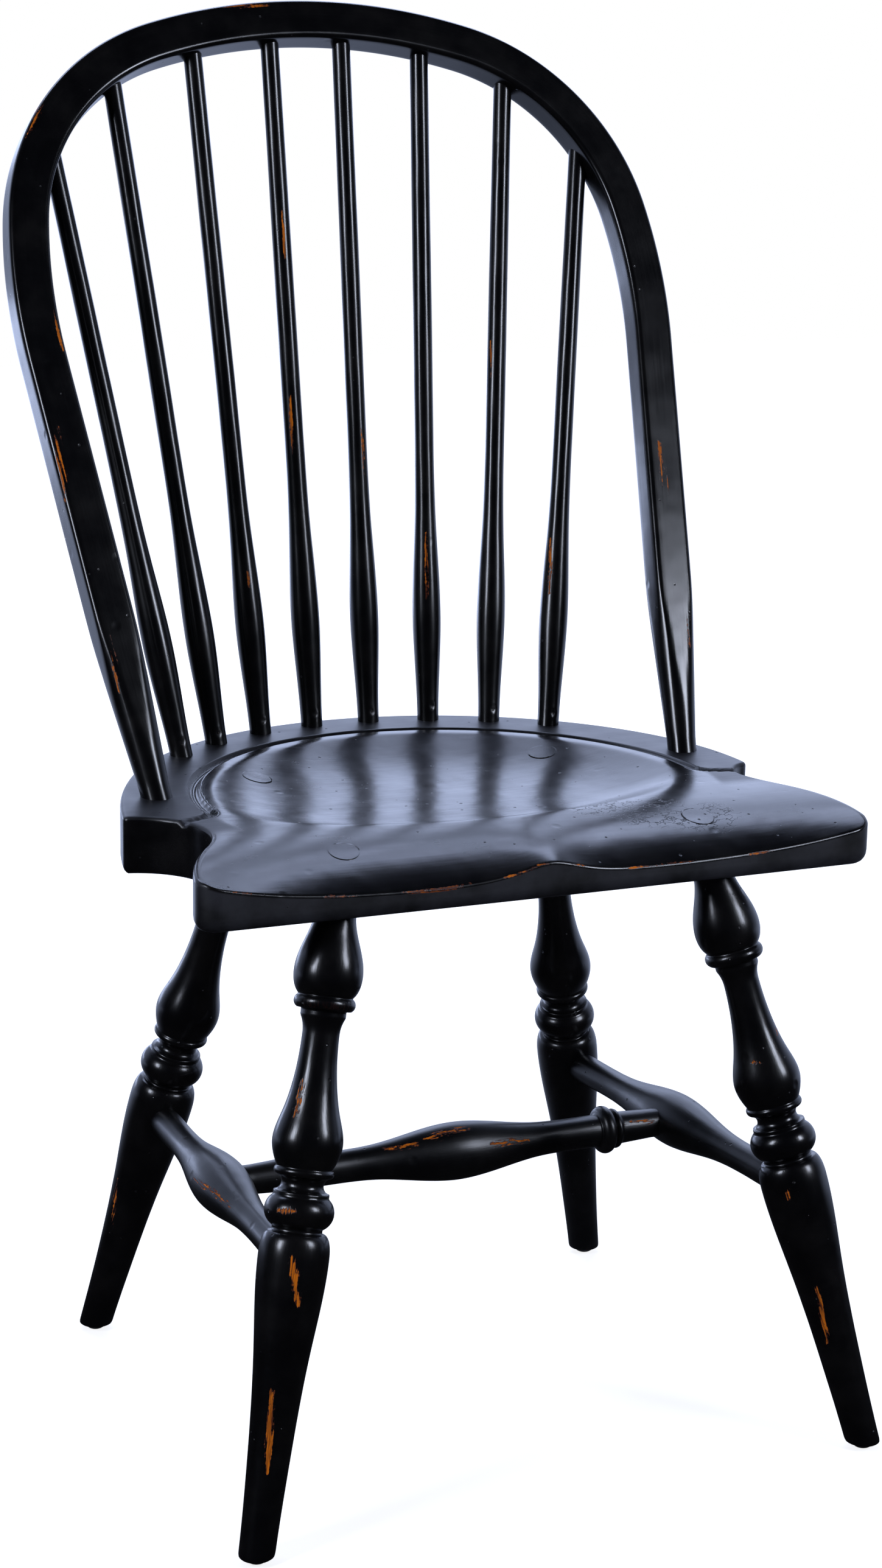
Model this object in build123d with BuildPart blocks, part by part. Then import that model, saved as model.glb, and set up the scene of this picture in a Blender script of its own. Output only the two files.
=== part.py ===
from build123d import *
import math
import os

# Bow-back side chair of turned and bent wood, held together by round tenons in bored sockets.
# X runs to the right as one faces the chair, the front looks to -Y, Z is up from the floor.
# Plan positions are measured from the centre of the round spindle deck at the rear of the seat.

# Frame: place of the deck's centre along Y, in front of the middle of the chair's footprint
deck_y = -48.0

# Seat board, outline points of its right half from the deck's centre
seat_height = 445.0
seat_thickness = 40.0
deck_radius = 230.0
seat_front = 151.0
front_corner = (229.0, -150.0)
lobe = (242.0, -133.5)
flare = (215.5, -76.0)
throat = (212.5, -30.0)
block = (232.5, -6.0)
block_corner_round = 5.0
under_edge_round = 6.0
deck_edge_round = 3.0
rim_inside = 204.0

# Gutter cut around the deck
groove_radius = 183.0
groove_width = 8.0
groove_depth = 3.0
groove_turn_radius = 15.0
groove_turn_sweep = 100.0
groove_run_out = 45.0

# Carved saddle
dish_radius = 170.0
dish_front = 76.0
dish_depth = 13.5
scoop_start = 52.0
scoop_depth = 25.0
scoop_lead = 0.1
pommel_share = 0.42
pommel_width = 20.0
scoop_reach = 265.0
saddle_blend = 2.0
saddle_grid = 12.0
saddle_margin = 16.0
saddle_tolerance = 0.05

# Legs: where each axis meets the floor and the deck plane
front_foot = (227.0, -206.0)
front_seat = (129.0, -107.0)
rear_foot = (206.0, 190.0)
rear_seat = (111.0, 96.0)

# Turnings of a leg: radii, and distances up its axis from the floor
foot_radius = 11.7
shank_radius = 13.7
shank_at = 62.0
calf_radius = 18.5
calf_at = 136.0
swell_radius = 23.2
swell_at = 197.0
ankle_radius = 16.6
ankle_at = 213.5
torus_radius = 22.9
torus_at = 226.0
torus_half = 10.0
list_radius = 18.3
list_height = 3.0
reel_radius = 13.8
reel_at = 244.5
ring_radius = 19.7
ring_at = 252.0
ring_half = 2.6
vase_radius = 23.1
vase_at = 271.0
hip_radius = 18.9
hip_at = 290.0
waist_radius = 14.7
waist_at = 309.0
neck_radius = 12.2
neck_at = 342.0
cove_radius = 14.9
cove_at = 353.0
collar_radius = 20.3
collar_root = 17.8
collar_at = 361.8
collar_half = 4.4
bulb_radius = 22.6
bulb_at = 382.5
bulb_shoulder_radius = 17.5
bulb_shoulder_at = 403.0
tenon_base_radius = 13.6
tenon_top_radius = 10.0
tenon_lead = 6.0

# Foot edges and glides
foot_edge_round = 2.5
glide_lift = 4.0
glide_radius = 7.5
glide_flat_radius = glide_radius - glide_lift
glide_nail_radius = 1.2
glide_nail_length = 15.0

# Wedges driven into the tenons
wedge_head = 3.6
wedge_tip = 0.8
wedge_depth = 26.0

# Side stretchers: heights of their ends on the leg axes, and their turning
side_rear_height = 177.5
side_front_height = 183.5
side_end_radius = 10.9
side_neck_radius = 12.3
side_neck_reach = 60.0
side_bulb_radius = 19.4
side_plain_end = 26.0
side_tenon_past = 7.0

# Cross stretcher
cross_end_radius = 10.4
cross_shank_radius = 11.7
cross_neck_radius = 12.8
cross_neck_reach = 60.0
cross_bulb_radius = 20.6
cross_ring_radius = 17.3
cross_ring_reach = 118.0
cross_ring_half = 5.4
cross_bead_radius = 14.4
cross_bead_half = 2.8
cross_plain_end = 22.0
cross_tenon_past = 5.0

# Bow: centre line in its own leaning plane, and its bar
bow_foot = (203.0, 50.4)
bow_lean = 25.8
bow_limb_splay = 6.15
bow_limb_height = 313.5
bow_hip_radius = 403.0
bow_hip_sweep = 14.8
bow_shoulder_radius = 163.0
bow_shoulder_sweep = 64.3
bow_width = 29.0
bow_depth = 24.0
bow_arris = 4.0
bow_foot_radius = 10.6
bow_foot_length = 8.0
bow_taper_length = 118.0
bow_tenon_spare = 20.0

# Spindles: fan angle between neighbours on the deck, and where they meet the bow
spindle_circle = 216.0
spindle_step = 12.2
spindle_tops = (28.5, 91.0, 160.7, 236.0)
spindle_base_radius = 8.0
spindle_swell_radius = 10.6
spindle_swell_at = 76.0
spindle_waist_radius = 8.2
spindle_waist_at = 146.0
spindle_shaft_radius = 7.15
spindle_shaft_at = 232.0
spindle_top_radius = 6.8
spindle_seat_depth = 22.0
spindle_bow_past = 3.0
spindle_plain_end = 30.0

# Brads that pin the feet of the spindles and of the bow to the seat
brad_radius = 0.8
brad_length = 42.0
brad_height = 9.0
brad_sink = 1.0
spindle_brad_slope = 22.0
bow_brad_slope = 40.0

# Fits
socket_clearance = 0.1
socket_bottom = 0.6
wedge_clearance = 0.05
brad_clearance = 0.05

SIDES = (("left", -1), ("right", 1))
seat_under = seat_height - seat_thickness
grain = Vector(1, 0, 0)


def plan(x, y, z=0.0):
    """Point of the chair from its place in plan and its height."""
    return Vector(x, deck_y + y, z)


def axis_plane(start, along, across=None):
    """Plane through a turning axis: local Y runs along the axis, local X across it."""
    side = across if across else along.cross(Vector(0, 0, 1))
    side = (side - along * side.dot(along)).normalized()
    return Plane(origin=start, x_dir=side, z_dir=side.cross(along))


def turning_axis(plane):
    """Axis along local Y of a plane."""
    return Axis(plane.origin, plane.y_dir)


def finish(builder, name):
    """Name a finished piece and write it."""
    builder.part.label = name
    export_step(builder.part, f"parts/{name}.step")


def bore(start, direction, radius, depth):
    """Cut a round hole in the part being built."""
    with BuildSketch(Plane(origin=start, z_dir=direction)) as mouth:
        Circle(radius)
    extrude(mouth.sketch, amount=depth, mode=Mode.SUBTRACT)


def cone_half(plane, low, low_radius, high, high_radius):
    """Half section of a tapered pin along a turning axis."""
    with BuildSketch(plane) as half:
        Polygon((0, low), (low_radius, low), (high_radius, high), (0, high), align=None)
    return half.sketch


def wedge_side(plane, tip, head, play):
    """Side view of a wedge that widens along a turning axis from its tip to its head."""
    thin = wedge_tip / 2 + play
    thick = wedge_head / 2 + play
    with BuildSketch(plane) as outline:
        Polygon((-thin, tip), (thin, tip), (thick, head), (-thick, head), align=None)
    return outline.sketch


# Carved top of the seat
def saddle(x, y):
    """Height of the carved surface over the deck at a point of the plan."""
    reach = dish_radius if y > 0 else dish_front
    bowl = ((x / dish_radius) ** 2 + (y / reach) ** 2) ** 3
    dish = -dish_depth * (1 - bowl) / (1 + bowl)
    fall = (-scoop_start - y) / (seat_front - scoop_start)
    pommel = 1 - pommel_share / math.cosh(x / pommel_width) - (x / scoop_reach) ** 4
    scoop = -scoop_depth * pommel * (fall**3 + scoop_lead * fall) / (1 + scoop_lead)
    return -saddle_blend * math.log(math.exp(-dish / saddle_blend) + math.exp(-scoop / saddle_blend))


def spread(low, high):
    """Evenly spaced values about one grid step apart."""
    count = math.ceil((high - low) / saddle_grid)
    return [low + (high - low) * i / count for i in range(count + 1)]


carve_side = lobe[0] + saddle_margin
saddle_rows = []
for row_y in spread(-seat_front - saddle_margin, dish_radius + saddle_margin):
    row = [plan(x, row_y, seat_height + saddle(x, row_y)) for x in spread(-carve_side, carve_side)]
    saddle_rows.append(row)
saddle_face = Face.make_surface_from_array_of_points(saddle_rows, tol=saddle_tolerance, min_deg=3)
with BuildPart() as waste:
    extrude(saddle_face, amount=scoop_depth + seat_thickness, dir=(0, 0, 1))

# Bow centre line
bow_plane = Plane(
    origin=plan(0, bow_foot[1], seat_height),
    x_dir=(1, 0, 0),
    z_dir=(0, -math.cos(math.radians(bow_lean)), math.sin(math.radians(bow_lean))),
)
limb_shift = bow_limb_height * math.tan(math.radians(bow_limb_splay))
limb_tail = seat_thickness + bow_tenon_spare
tail_shift = limb_tail * math.tan(math.radians(bow_limb_splay))
with BuildLine(bow_plane) as bow_line:
    limb_foot = (bow_foot[0] - tail_shift, -limb_tail)
    limb = Line(limb_foot, (bow_foot[0] + limb_shift, bow_limb_height))
    hip = JernArc(limb @ 1, limb % 1, bow_hip_radius, bow_hip_sweep)
    shoulder = JernArc(hip @ 1, hip % 1, bow_shoulder_radius, bow_shoulder_sweep)
    crown_end = shoulder @ 1
    TangentArc(crown_end, Vector(-crown_end.X, crown_end.Y, crown_end.Z), tangent=shoulder % 1)
    mirror([limb, hip, shoulder], about=Plane.YZ)
bow_path = Wire(bow_line.edges())


def bow_point(side, distance):
    """Point of the bow's centre line, by its distance from the crown to one side."""
    crown = bow_path.length / 2
    first = 1 if (bow_path @ 0).X > 0 else -1
    return bow_path.position_at(crown - side * first * distance, position_mode=PositionMode.LENGTH)


def limb_axis(side):
    """Foot of a bow limb at the deck, and the direction up the limb."""
    splay = math.radians(bow_limb_splay)
    up = bow_plane.x_dir * (side * math.sin(splay)) + bow_plane.y_dir * math.cos(splay)
    return plan(side * bow_foot[0], bow_foot[1], seat_height), up


# Axes of the spindles, numbered from left to right as one faces the chair
spindles = []
for side, ranks in ((-1, (3, 2, 1, 0)), (1, (0, 1, 2, 3))):
    for rank in ranks:
        angle = math.radians(spindle_step * (rank + 0.5))
        base_x = side * spindle_circle * math.sin(angle)
        base = plan(base_x, spindle_circle * math.cos(angle), seat_height)
        spindles.append((base, bow_point(side, spindle_tops[rank])))


# Axes of the legs
def on_leg(end, side, height):
    """Point of a leg's axis at a height over the floor."""
    foot, top = (front_foot, front_seat) if end == "front" else (rear_foot, rear_seat)
    low = plan(side * foot[0], foot[1])
    high = plan(side * top[0], top[1], seat_height)
    return low + (high - low) * (height / seat_height)


def leg_plane(end, side):
    """Plane through a leg's axis, its origin on the floor and its X along the seat's grain."""
    foot = on_leg(end, side, 0)
    return axis_plane(foot, (on_leg(end, side, seat_height) - foot).normalized(), grain)


def tenon_span(end, side):
    """Distances up a leg's axis to the start of its tenon and to the deck plane."""
    foot = on_leg(end, side, 0)
    under = (on_leg(end, side, seat_under) - foot).length
    return under - tenon_lead, (on_leg(end, side, seat_height) - foot).length


LEGS = [(end, name, side) for end in ("front", "rear") for name, side in SIDES]


# Axes of the brads
def brad_axis(foot, up, radius, slope):
    """Point on the front of a spindle or bow foot, and the direction of the brad driven there."""
    front = Vector(0, -1, 0)
    front = (front - up * front.dot(up)).normalized()
    lean = math.radians(slope)
    return foot + up * brad_height + front * radius, up * -math.cos(lean) - front * math.sin(lean)


spindle_brads = []
for base, top in spindles:
    upward = (top - base).normalized()
    spindle_brads.append(brad_axis(base, upward, spindle_base_radius, spindle_brad_slope))
bow_brads = [brad_axis(*limb_axis(side), bow_foot_radius, bow_brad_slope) for _, side in SIDES]


def brad_bore(brad):
    """Cut the hole of one brad in the part being built."""
    start, direction = brad
    radius = brad_radius + brad_clearance
    bore(start - direction * brad_height / 2, direction, radius, brad_height / 2 + brad_length)


os.makedirs("parts", exist_ok=True)


def on_deck_rim(edge):
    """Whether an edge bounds the flat deck on its outer side."""
    middle = edge @ 0.5 - deck_plane.origin
    return abs(middle.Z) < saddle_tolerance and math.hypot(middle.X, middle.Y) > rim_inside


# Seat
deck_plane = Plane(origin=plan(0, 0, seat_height))
groove_bit = (groove_width**2 / 4 + groove_depth**2) / (2 * groove_depth)
with BuildLine(deck_plane.offset(groove_bit - groove_depth)) as groove_line:
    gutter = CenterArc((0, 0), groove_radius, 0, 180)
    turn = JernArc((groove_radius, 0), (0, -1), groove_turn_radius, groove_turn_sweep)
    run = Line(turn @ 1, turn @ 1 + (turn % 1) * groove_run_out)
    mirror([turn, run], about=Plane.YZ)
groove_path = Wire(groove_line.edges())

with BuildPart() as seat:
    with BuildSketch(deck_plane.offset(-seat_thickness)):
        with BuildLine():
            front_edge = TangentArc((0, -seat_front), front_corner, tangent=(1, 0))
            corner = TangentArc(front_edge @ 1, lobe, tangent=front_edge % 1)
            lobe_back = TangentArc(corner @ 1, flare, tangent=corner % 1)
            notch = TangentArc(lobe_back @ 1, throat, tangent=lobe_back % 1)
            TangentArc(notch @ 1, block, tangent=notch % 1)
            Line(block, (deck_radius, 0))
            CenterArc((0, 0), deck_radius, 0, 90)
            mirror(about=Plane.YZ)
        make_face()
    extrude(amount=seat_thickness)
    upright = seat.edges().filter_by(Axis.Z)
    corners = upright.filter_by(lambda e: abs(abs(e.center().X) - block[0]) < block_corner_round)
    fillet(corners.group_by(Axis.Y)[-1], block_corner_round)
    add(waste.part, mode=Mode.SUBTRACT)
    fillet(seat.faces().sort_by(Axis.Z)[0].edges(), under_edge_round)
    fillet(seat.edges().filter_by(on_deck_rim), deck_edge_round)
    with BuildSketch(Plane(origin=groove_path @ 0, z_dir=groove_path % 0)):
        Circle(groove_bit)
    sweep(path=groove_path, mode=Mode.SUBTRACT)
    for end, _, side in LEGS:
        hole = leg_plane(end, side)
        low, high = tenon_span(end, side)
        wide = tenon_base_radius + socket_clearance
        narrow = tenon_top_radius + socket_clearance
        revolve(
            cone_half(hole, low, wide, high, narrow),
            axis=turning_axis(hole),
            mode=Mode.SUBTRACT,
        )
    for _, side in SIDES:
        foot, up = limb_axis(side)
        top = foot + up * seat_thickness
        bore(top, up * -1, bow_foot_radius + socket_clearance, 3 * seat_thickness)
    for base, top in spindles:
        up = (top - base).normalized()
        depth = spindle_seat_depth + socket_bottom
        bore(base - up * depth, up, spindle_base_radius + socket_clearance, 2 * depth)
    for brad in spindle_brads + bow_brads:
        brad_bore(brad)
finish(seat, "seat")

# Bow
bar_corner = math.hypot(bow_width / 2 - bow_arris, bow_depth / 2 - bow_arris) + bow_arris
with BuildPart() as bow:
    with BuildSketch(Plane(origin=bow_path @ 0, x_dir=bow_plane.z_dir, z_dir=bow_path % 0)):
        RectangleRounded(bow_depth, bow_width, bow_arris)
    sweep(path=bow_path)
    for _, side in SIDES:
        foot, up = limb_axis(side)
        limb_plane = axis_plane(foot, up, grain)
        with BuildSketch(limb_plane) as shavings:
            Polygon(
                (bow_foot_radius, -2 * limb_tail),
                (bow_foot_radius, bow_foot_length),
                (bar_corner, bow_taper_length),
                (2 * bar_corner, bow_taper_length),
                (2 * bar_corner, -2 * limb_tail),
                align=None,
            )
        revolve(shavings.sketch, axis=turning_axis(limb_plane), mode=Mode.SUBTRACT)
        tail = -seat_thickness / up.Z
        kerf = wedge_side(limb_plane, tail + wedge_depth, tail - bow_foot_radius, wedge_clearance)
        extrude(kerf, amount=2 * bow_foot_radius, both=True, mode=Mode.SUBTRACT)
    split(bisect_by=Plane.XY.offset(seat_under), keep=Keep.TOP)
    for base, top in spindles:
        up = (top - base).normalized()
        depth = spindle_bow_past + socket_bottom
        bore(top + up * depth, up * -1, spindle_top_radius + socket_clearance, depth + 2 * bow_width)
    for brad in bow_brads:
        brad_bore(brad)
finish(bow, "bow")

# Wedges of the bow's tenons
for name, side in SIDES:
    foot, up = limb_axis(side)
    limb_plane = axis_plane(foot, up, grain)
    tail = -seat_thickness / up.Z
    with BuildPart() as bow_wedge:
        core = cone_half(limb_plane, 2 * tail, bow_foot_radius, 0, bow_foot_radius)
        revolve(core, axis=turning_axis(limb_plane))
        prism = wedge_side(limb_plane, tail + wedge_depth - socket_bottom, tail - bow_foot_radius, 0)
        extrude(prism, amount=2 * bow_foot_radius, both=True, mode=Mode.INTERSECT)
        split(bisect_by=Plane.XY.offset(seat_under), keep=Keep.TOP)
    finish(bow_wedge, f"bow_wedge_{name}")

# Spindles
for number, (base, top) in enumerate(spindles, start=1):
    up = (top - base).normalized()
    length = (top - base).length
    spindle_plane = axis_plane(base, up, grain)
    with BuildPart() as spindle:
        with BuildSketch(spindle_plane):
            with BuildLine():
                tail = Line((0, -spindle_seat_depth), (spindle_base_radius, -spindle_seat_depth))
                plug = Line(tail @ 1, (spindle_base_radius, 0))
                body = Spline(
                    plug @ 1,
                    (spindle_swell_radius, spindle_swell_at),
                    (spindle_waist_radius, spindle_waist_at),
                    (spindle_shaft_radius, spindle_shaft_at),
                    (spindle_top_radius, length - spindle_plain_end),
                    tangents=((0, 1), (0, 1)),
                )
                tip = Line(body @ 1, (spindle_top_radius, length + spindle_bow_past))
                cap = Line(tip @ 1, (0, length + spindle_bow_past))
                Line(cap @ 1, tail @ 0)
            make_face()
        revolve(axis=turning_axis(spindle_plane))
        brad_bore(spindle_brads[number - 1])
    finish(spindle, f"spindle_{number}")

# Legs
for end, name, side in LEGS:
    axis = leg_plane(end, side)
    tenon_at, past = tenon_span(end, side)
    list_top = torus_at + torus_half + list_height
    with BuildPart() as leg:
        with BuildSketch(axis):
            with BuildLine():
                sole = Line((0, -foot_radius), (foot_radius, -foot_radius))
                taper = Spline(
                    sole @ 1,
                    (shank_radius, shank_at),
                    (calf_radius, calf_at),
                    (swell_radius, swell_at),
                    tangents=((0, 1), (0, 1)),
                )
                swell = Spline(taper @ 1, (ankle_radius, ankle_at), tangents=((0, 1), (-1, 0)))
                ankle = Line(swell @ 1, (ankle_radius, torus_at - torus_half))
                torus = ThreePointArc(
                    ankle @ 1,
                    (torus_radius, torus_at),
                    (list_radius, torus_at + torus_half),
                )
                list_edge = Line(torus @ 1, (list_radius, list_top))
                reel = ThreePointArc(
                    list_edge @ 1,
                    (reel_radius, reel_at),
                    (list_radius, ring_at - ring_half),
                )
                ring = ThreePointArc(
                    reel @ 1,
                    (ring_radius, ring_at),
                    (list_radius, ring_at + ring_half),
                )
                vase = Spline(
                    ring @ 1,
                    (vase_radius, vase_at),
                    (hip_radius, hip_at),
                    (waist_radius, waist_at),
                    (neck_radius, neck_at),
                    tangents=((1, 2), (0, 1)),
                )
                cove = TangentArc(vase @ 1, (cove_radius, cove_at), tangent=(0, 1))
                fillet_edge = Line(cove @ 1, (cove_radius, collar_at - collar_half))
                step = Line(fillet_edge @ 1, (collar_root, collar_at - collar_half))
                collar = ThreePointArc(
                    step @ 1,
                    (collar_radius, collar_at),
                    (collar_root, collar_at + collar_half),
                )
                bulb = Spline(
                    collar @ 1,
                    (bulb_radius, bulb_at),
                    (bulb_shoulder_radius, bulb_shoulder_at),
                    (tenon_base_radius, tenon_at),
                    tangents=((1, 1), (tenon_top_radius - tenon_base_radius, past - tenon_at)),
                )
                tenon = Line(bulb @ 1, (tenon_top_radius, past))
                end_grain = Line(tenon @ 1, (0, past))
                Line(end_grain @ 1, sole @ 0)
            make_face()
        revolve(axis=turning_axis(axis))
        split(bisect_by=Plane.XY.offset(glide_lift), keep=Keep.TOP)
        fillet(leg.edges().group_by(Axis.Z)[0], foot_edge_round)
        add(waste.part, mode=Mode.SUBTRACT)
        kerf = wedge_side(axis, past - wedge_depth - socket_bottom, past, wedge_clearance)
        extrude(kerf, amount=2 * tenon_base_radius, both=True, mode=Mode.SUBTRACT)
        other = "rear" if end == "front" else "front"
        heights = {"front": side_front_height, "rear": side_rear_height}
        here = on_leg(end, side, heights[end])
        toward = (on_leg(other, side, heights[other]) - here).normalized()
        depth = side_tenon_past + socket_bottom
        socket = side_end_radius + socket_clearance
        bore(here - toward * depth, toward, socket, depth + 2 * swell_radius)
        bore(
            on_leg(end, side, glide_lift),
            Vector(0, 0, 1),
            glide_nail_radius + socket_clearance,
            glide_nail_length + socket_bottom,
        )
    finish(leg, f"leg_{end}_{name}")

    with BuildPart() as leg_wedge:
        core = cone_half(axis, tenon_at, tenon_base_radius, past, tenon_top_radius)
        revolve(core, axis=turning_axis(axis))
        prism = wedge_side(axis, past - wedge_depth, past, 0)
        extrude(prism, amount=2 * tenon_base_radius, both=True, mode=Mode.INTERSECT)
        add(waste.part, mode=Mode.SUBTRACT)
    finish(leg_wedge, f"leg_wedge_{end}_{name}")

    foot_spot = on_leg(end, side, glide_lift)
    glide_plane = Plane(origin=(foot_spot.X, foot_spot.Y, 0), x_dir=(1, 0, 0), z_dir=(0, -1, 0))
    with BuildPart() as glide:
        with BuildSketch(glide_plane):
            with BuildLine():
                nail_top = glide_lift + glide_nail_length
                spot = Line((0, 0), (glide_flat_radius, 0))
                dome = TangentArc((glide_radius, glide_lift), spot @ 1, tangent=(0, -1))
                brim = Line(dome @ 0, (glide_nail_radius, glide_lift))
                nail = Line(brim @ 1, (glide_nail_radius, nail_top))
                point = Line(nail @ 1, (0, nail_top))
                Line(point @ 1, spot @ 0)
            make_face()
        revolve(axis=turning_axis(glide_plane))
    finish(glide, f"glide_{end}_{name}")

# Side stretchers
for name, side in SIDES:
    rear_end = on_leg("rear", side, side_rear_height)
    front_end = on_leg("front", side, side_front_height)
    middle = (rear_end + front_end) / 2
    half = (front_end - rear_end).length / 2
    side_plane = axis_plane(middle, (front_end - rear_end).normalized())
    with BuildPart() as side_stretcher:
        with BuildSketch(side_plane):
            with BuildLine():
                bulge = Spline(
                    (side_bulb_radius, 0),
                    (side_neck_radius, side_neck_reach),
                    (side_end_radius, half - side_plain_end),
                    tangents=((0, 1), (0, 1)),
                )
                plug = Line(bulge @ 1, (side_end_radius, half + side_tenon_past))
                Line(plug @ 1, (0, half + side_tenon_past))
                mirror(about=Plane.XZ)
                Line((0, half + side_tenon_past), (0, -half - side_tenon_past))
            make_face()
        revolve(axis=turning_axis(side_plane))
        depth = cross_tenon_past + socket_bottom
        inward = Vector(-side, 0, 0)
        socket = cross_end_radius + socket_clearance
        bore(middle - inward * depth, inward, socket, depth + 2 * side_bulb_radius)
    finish(side_stretcher, f"side_stretcher_{name}")

# Cross stretcher
right_rear = on_leg("rear", 1, side_rear_height)
right_front = on_leg("front", 1, side_front_height)
cross_end = (right_rear + right_front) / 2
cross_plane = axis_plane(Vector(0, cross_end.Y, cross_end.Z), Vector(1, 0, 0))
with BuildPart() as cross_stretcher:
    with BuildSketch(cross_plane):
        with BuildLine():
            bulge = Spline(
                (cross_bulb_radius, 0),
                (cross_neck_radius, cross_neck_reach),
                (cross_shank_radius, cross_ring_reach - cross_ring_half),
                tangents=((0, 1), (0, 1)),
            )
            ring = ThreePointArc(
                bulge @ 1,
                (cross_ring_radius, cross_ring_reach),
                (cross_shank_radius, cross_ring_reach + cross_ring_half),
            )
            bead_at = cross_ring_reach + cross_ring_half + cross_bead_half
            bead = ThreePointArc(
                ring @ 1,
                (cross_bead_radius, bead_at),
                (cross_shank_radius, bead_at + cross_bead_half),
            )
            run = Line(bead @ 1, (cross_end_radius, cross_end.X - cross_plain_end))
            plug = Line(run @ 1, (cross_end_radius, cross_end.X + cross_tenon_past))
            Line(plug @ 1, (0, cross_end.X + cross_tenon_past))
            mirror(about=Plane.XZ)
            Line((0, cross_end.X + cross_tenon_past), (0, -cross_end.X - cross_tenon_past))
        make_face()
    revolve(axis=turning_axis(cross_plane))
finish(cross_stretcher, "cross_stretcher")

# Brads
with BuildPart() as brads:
    for start, direction in spindle_brads + bow_brads:
        with BuildSketch(Plane(origin=start + direction * brad_sink, z_dir=direction)) as shank:
            Circle(brad_radius)
        extrude(shank.sketch, amount=brad_length - brad_sink - socket_bottom)
finish(brads, "brads")
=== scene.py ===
"""Looks of the bow-back side chair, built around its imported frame."""

import logging
import math
from dataclasses import dataclass, field
from enum import Enum

import bmesh
import bpy
import numpy as np
from mathutils import Matrix, Vector


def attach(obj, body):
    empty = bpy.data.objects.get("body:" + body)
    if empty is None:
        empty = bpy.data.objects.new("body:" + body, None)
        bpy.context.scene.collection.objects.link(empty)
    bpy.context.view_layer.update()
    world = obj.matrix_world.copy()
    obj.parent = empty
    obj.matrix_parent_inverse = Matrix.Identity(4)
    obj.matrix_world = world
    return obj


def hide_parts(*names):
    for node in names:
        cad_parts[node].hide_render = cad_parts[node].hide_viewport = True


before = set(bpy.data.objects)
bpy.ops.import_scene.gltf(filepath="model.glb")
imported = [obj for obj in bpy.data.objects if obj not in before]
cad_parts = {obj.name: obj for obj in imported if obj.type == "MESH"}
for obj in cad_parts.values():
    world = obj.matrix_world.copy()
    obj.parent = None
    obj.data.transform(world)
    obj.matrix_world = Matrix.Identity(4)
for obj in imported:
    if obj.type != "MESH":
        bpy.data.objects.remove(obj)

LOG = logging.getLogger("side_chair")
MM = 0.001
BODY = "root"
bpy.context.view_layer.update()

Point2 = tuple[float, float]
Point3 = tuple[float, float, float]
Colour = tuple[float, float, float]
Socket = bpy.types.NodeSocket


class Side(Enum):
    """Sides of the chair as one faces it."""

    LEFT = -1
    RIGHT = 1


class LegEnd(Enum):
    """Ends of the chair that carry legs."""

    FRONT = "front"
    REAR = "rear"


# Plan of the chair, in millimetres
DECK_Y = -48.0
SEAT_HEIGHT = 445.0
SEAT_THICKNESS = 40.0
SEAT_UNDER = SEAT_HEIGHT - SEAT_THICKNESS


def plan(x: float, y: float, z: float = 0.0) -> np.ndarray:
    """Point of the chair from its place about the deck's centre.

    Args:
        x: Place to the right of the middle.
        y: Place behind the deck's centre.
        z: Height over the floor.

    Returns:
        The point in millimetres.
    """
    return np.array((x, DECK_Y + y, z))


def unit(vector: np.ndarray) -> np.ndarray:
    """Vector of length one."""
    return vector / np.linalg.norm(vector)


def smooth_step(low: float, high: float, value: np.ndarray) -> np.ndarray:
    """Smooth rise from 0 at low to 1 at high.

    Args:
        low: Value where the rise starts.
        high: Value where the rise ends.
        value: Values to map.

    Returns:
        Mapped values from 0 to 1.
    """
    t = np.clip((value - low) / (high - low), 0.0, 1.0)
    return t * t * (3 - 2 * t)


# Curves of outlines, and the distance between their samples in millimetres
SAMPLE_STEP = 0.5


def spline(points: list[Point2], first: Point2, last: Point2) -> list[Point2]:
    """Smooth curve through points of an outline, with set directions at its ends.

    Args:
        points: Radius and height of each point.
        first: Direction at the first point.
        last: Direction at the last point.

    Returns:
        Samples of the curve, ends included.
    """
    knots = np.array(points)
    spans = np.linalg.norm(np.diff(knots, axis=0), axis=1)
    count = len(knots)
    system = np.zeros((count, count))
    right = np.zeros((count, 2))
    system[0, 0] = system[-1, -1] = 1.0
    right[0], right[-1] = unit(np.array(first)), unit(np.array(last))
    for i in range(1, count - 1):
        before, after = spans[i - 1], spans[i]
        system[i, i - 1 : i + 2] = after, 2 * (before + after), before
        lift = after / before * (knots[i] - knots[i - 1])
        right[i] = 3 * (lift + before / after * (knots[i + 1] - knots[i]))
    slopes = np.linalg.solve(system, right)
    samples: list[Point2] = []
    for i, span in enumerate(spans):
        t = np.linspace(0.0, 1.0, max(2, int(span / SAMPLE_STEP)), endpoint=False)[:, None]
        body = (2 * t**3 - 3 * t**2 + 1) * knots[i] + (3 * t**2 - 2 * t**3) * knots[i + 1]
        pull = (t**3 - 2 * t**2 + t) * slopes[i] + (t**3 - t**2) * slopes[i + 1]
        samples += [tuple(p) for p in body + span * pull]
    return samples + [tuple(knots[-1])]


def arc(first: Point2, middle: Point2, last: Point2, count: int = 14) -> list[Point2]:
    """Circular arc through three points of an outline.

    Args:
        first: Start of the arc.
        middle: Point on the way.
        last: End of the arc.
        count: Number of samples.

    Returns:
        Samples of the arc, ends included.
    """
    a, b, c = (complex(*p) for p in (first, middle, last))
    w = (c - a) / (b - a)
    centre = (b - a) * (w - abs(w) ** 2) / (2j * w.imag) + a
    turn = np.angle((c - centre) / (a - centre))
    side = np.angle((b - centre) / (a - centre))
    if turn * side < 0:
        turn -= math.copysign(2 * math.pi, turn)
    spots = centre + (a - centre) * np.exp(1j * turn * np.linspace(0, 1, count))
    return [(p.real, p.imag) for p in spots]


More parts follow.
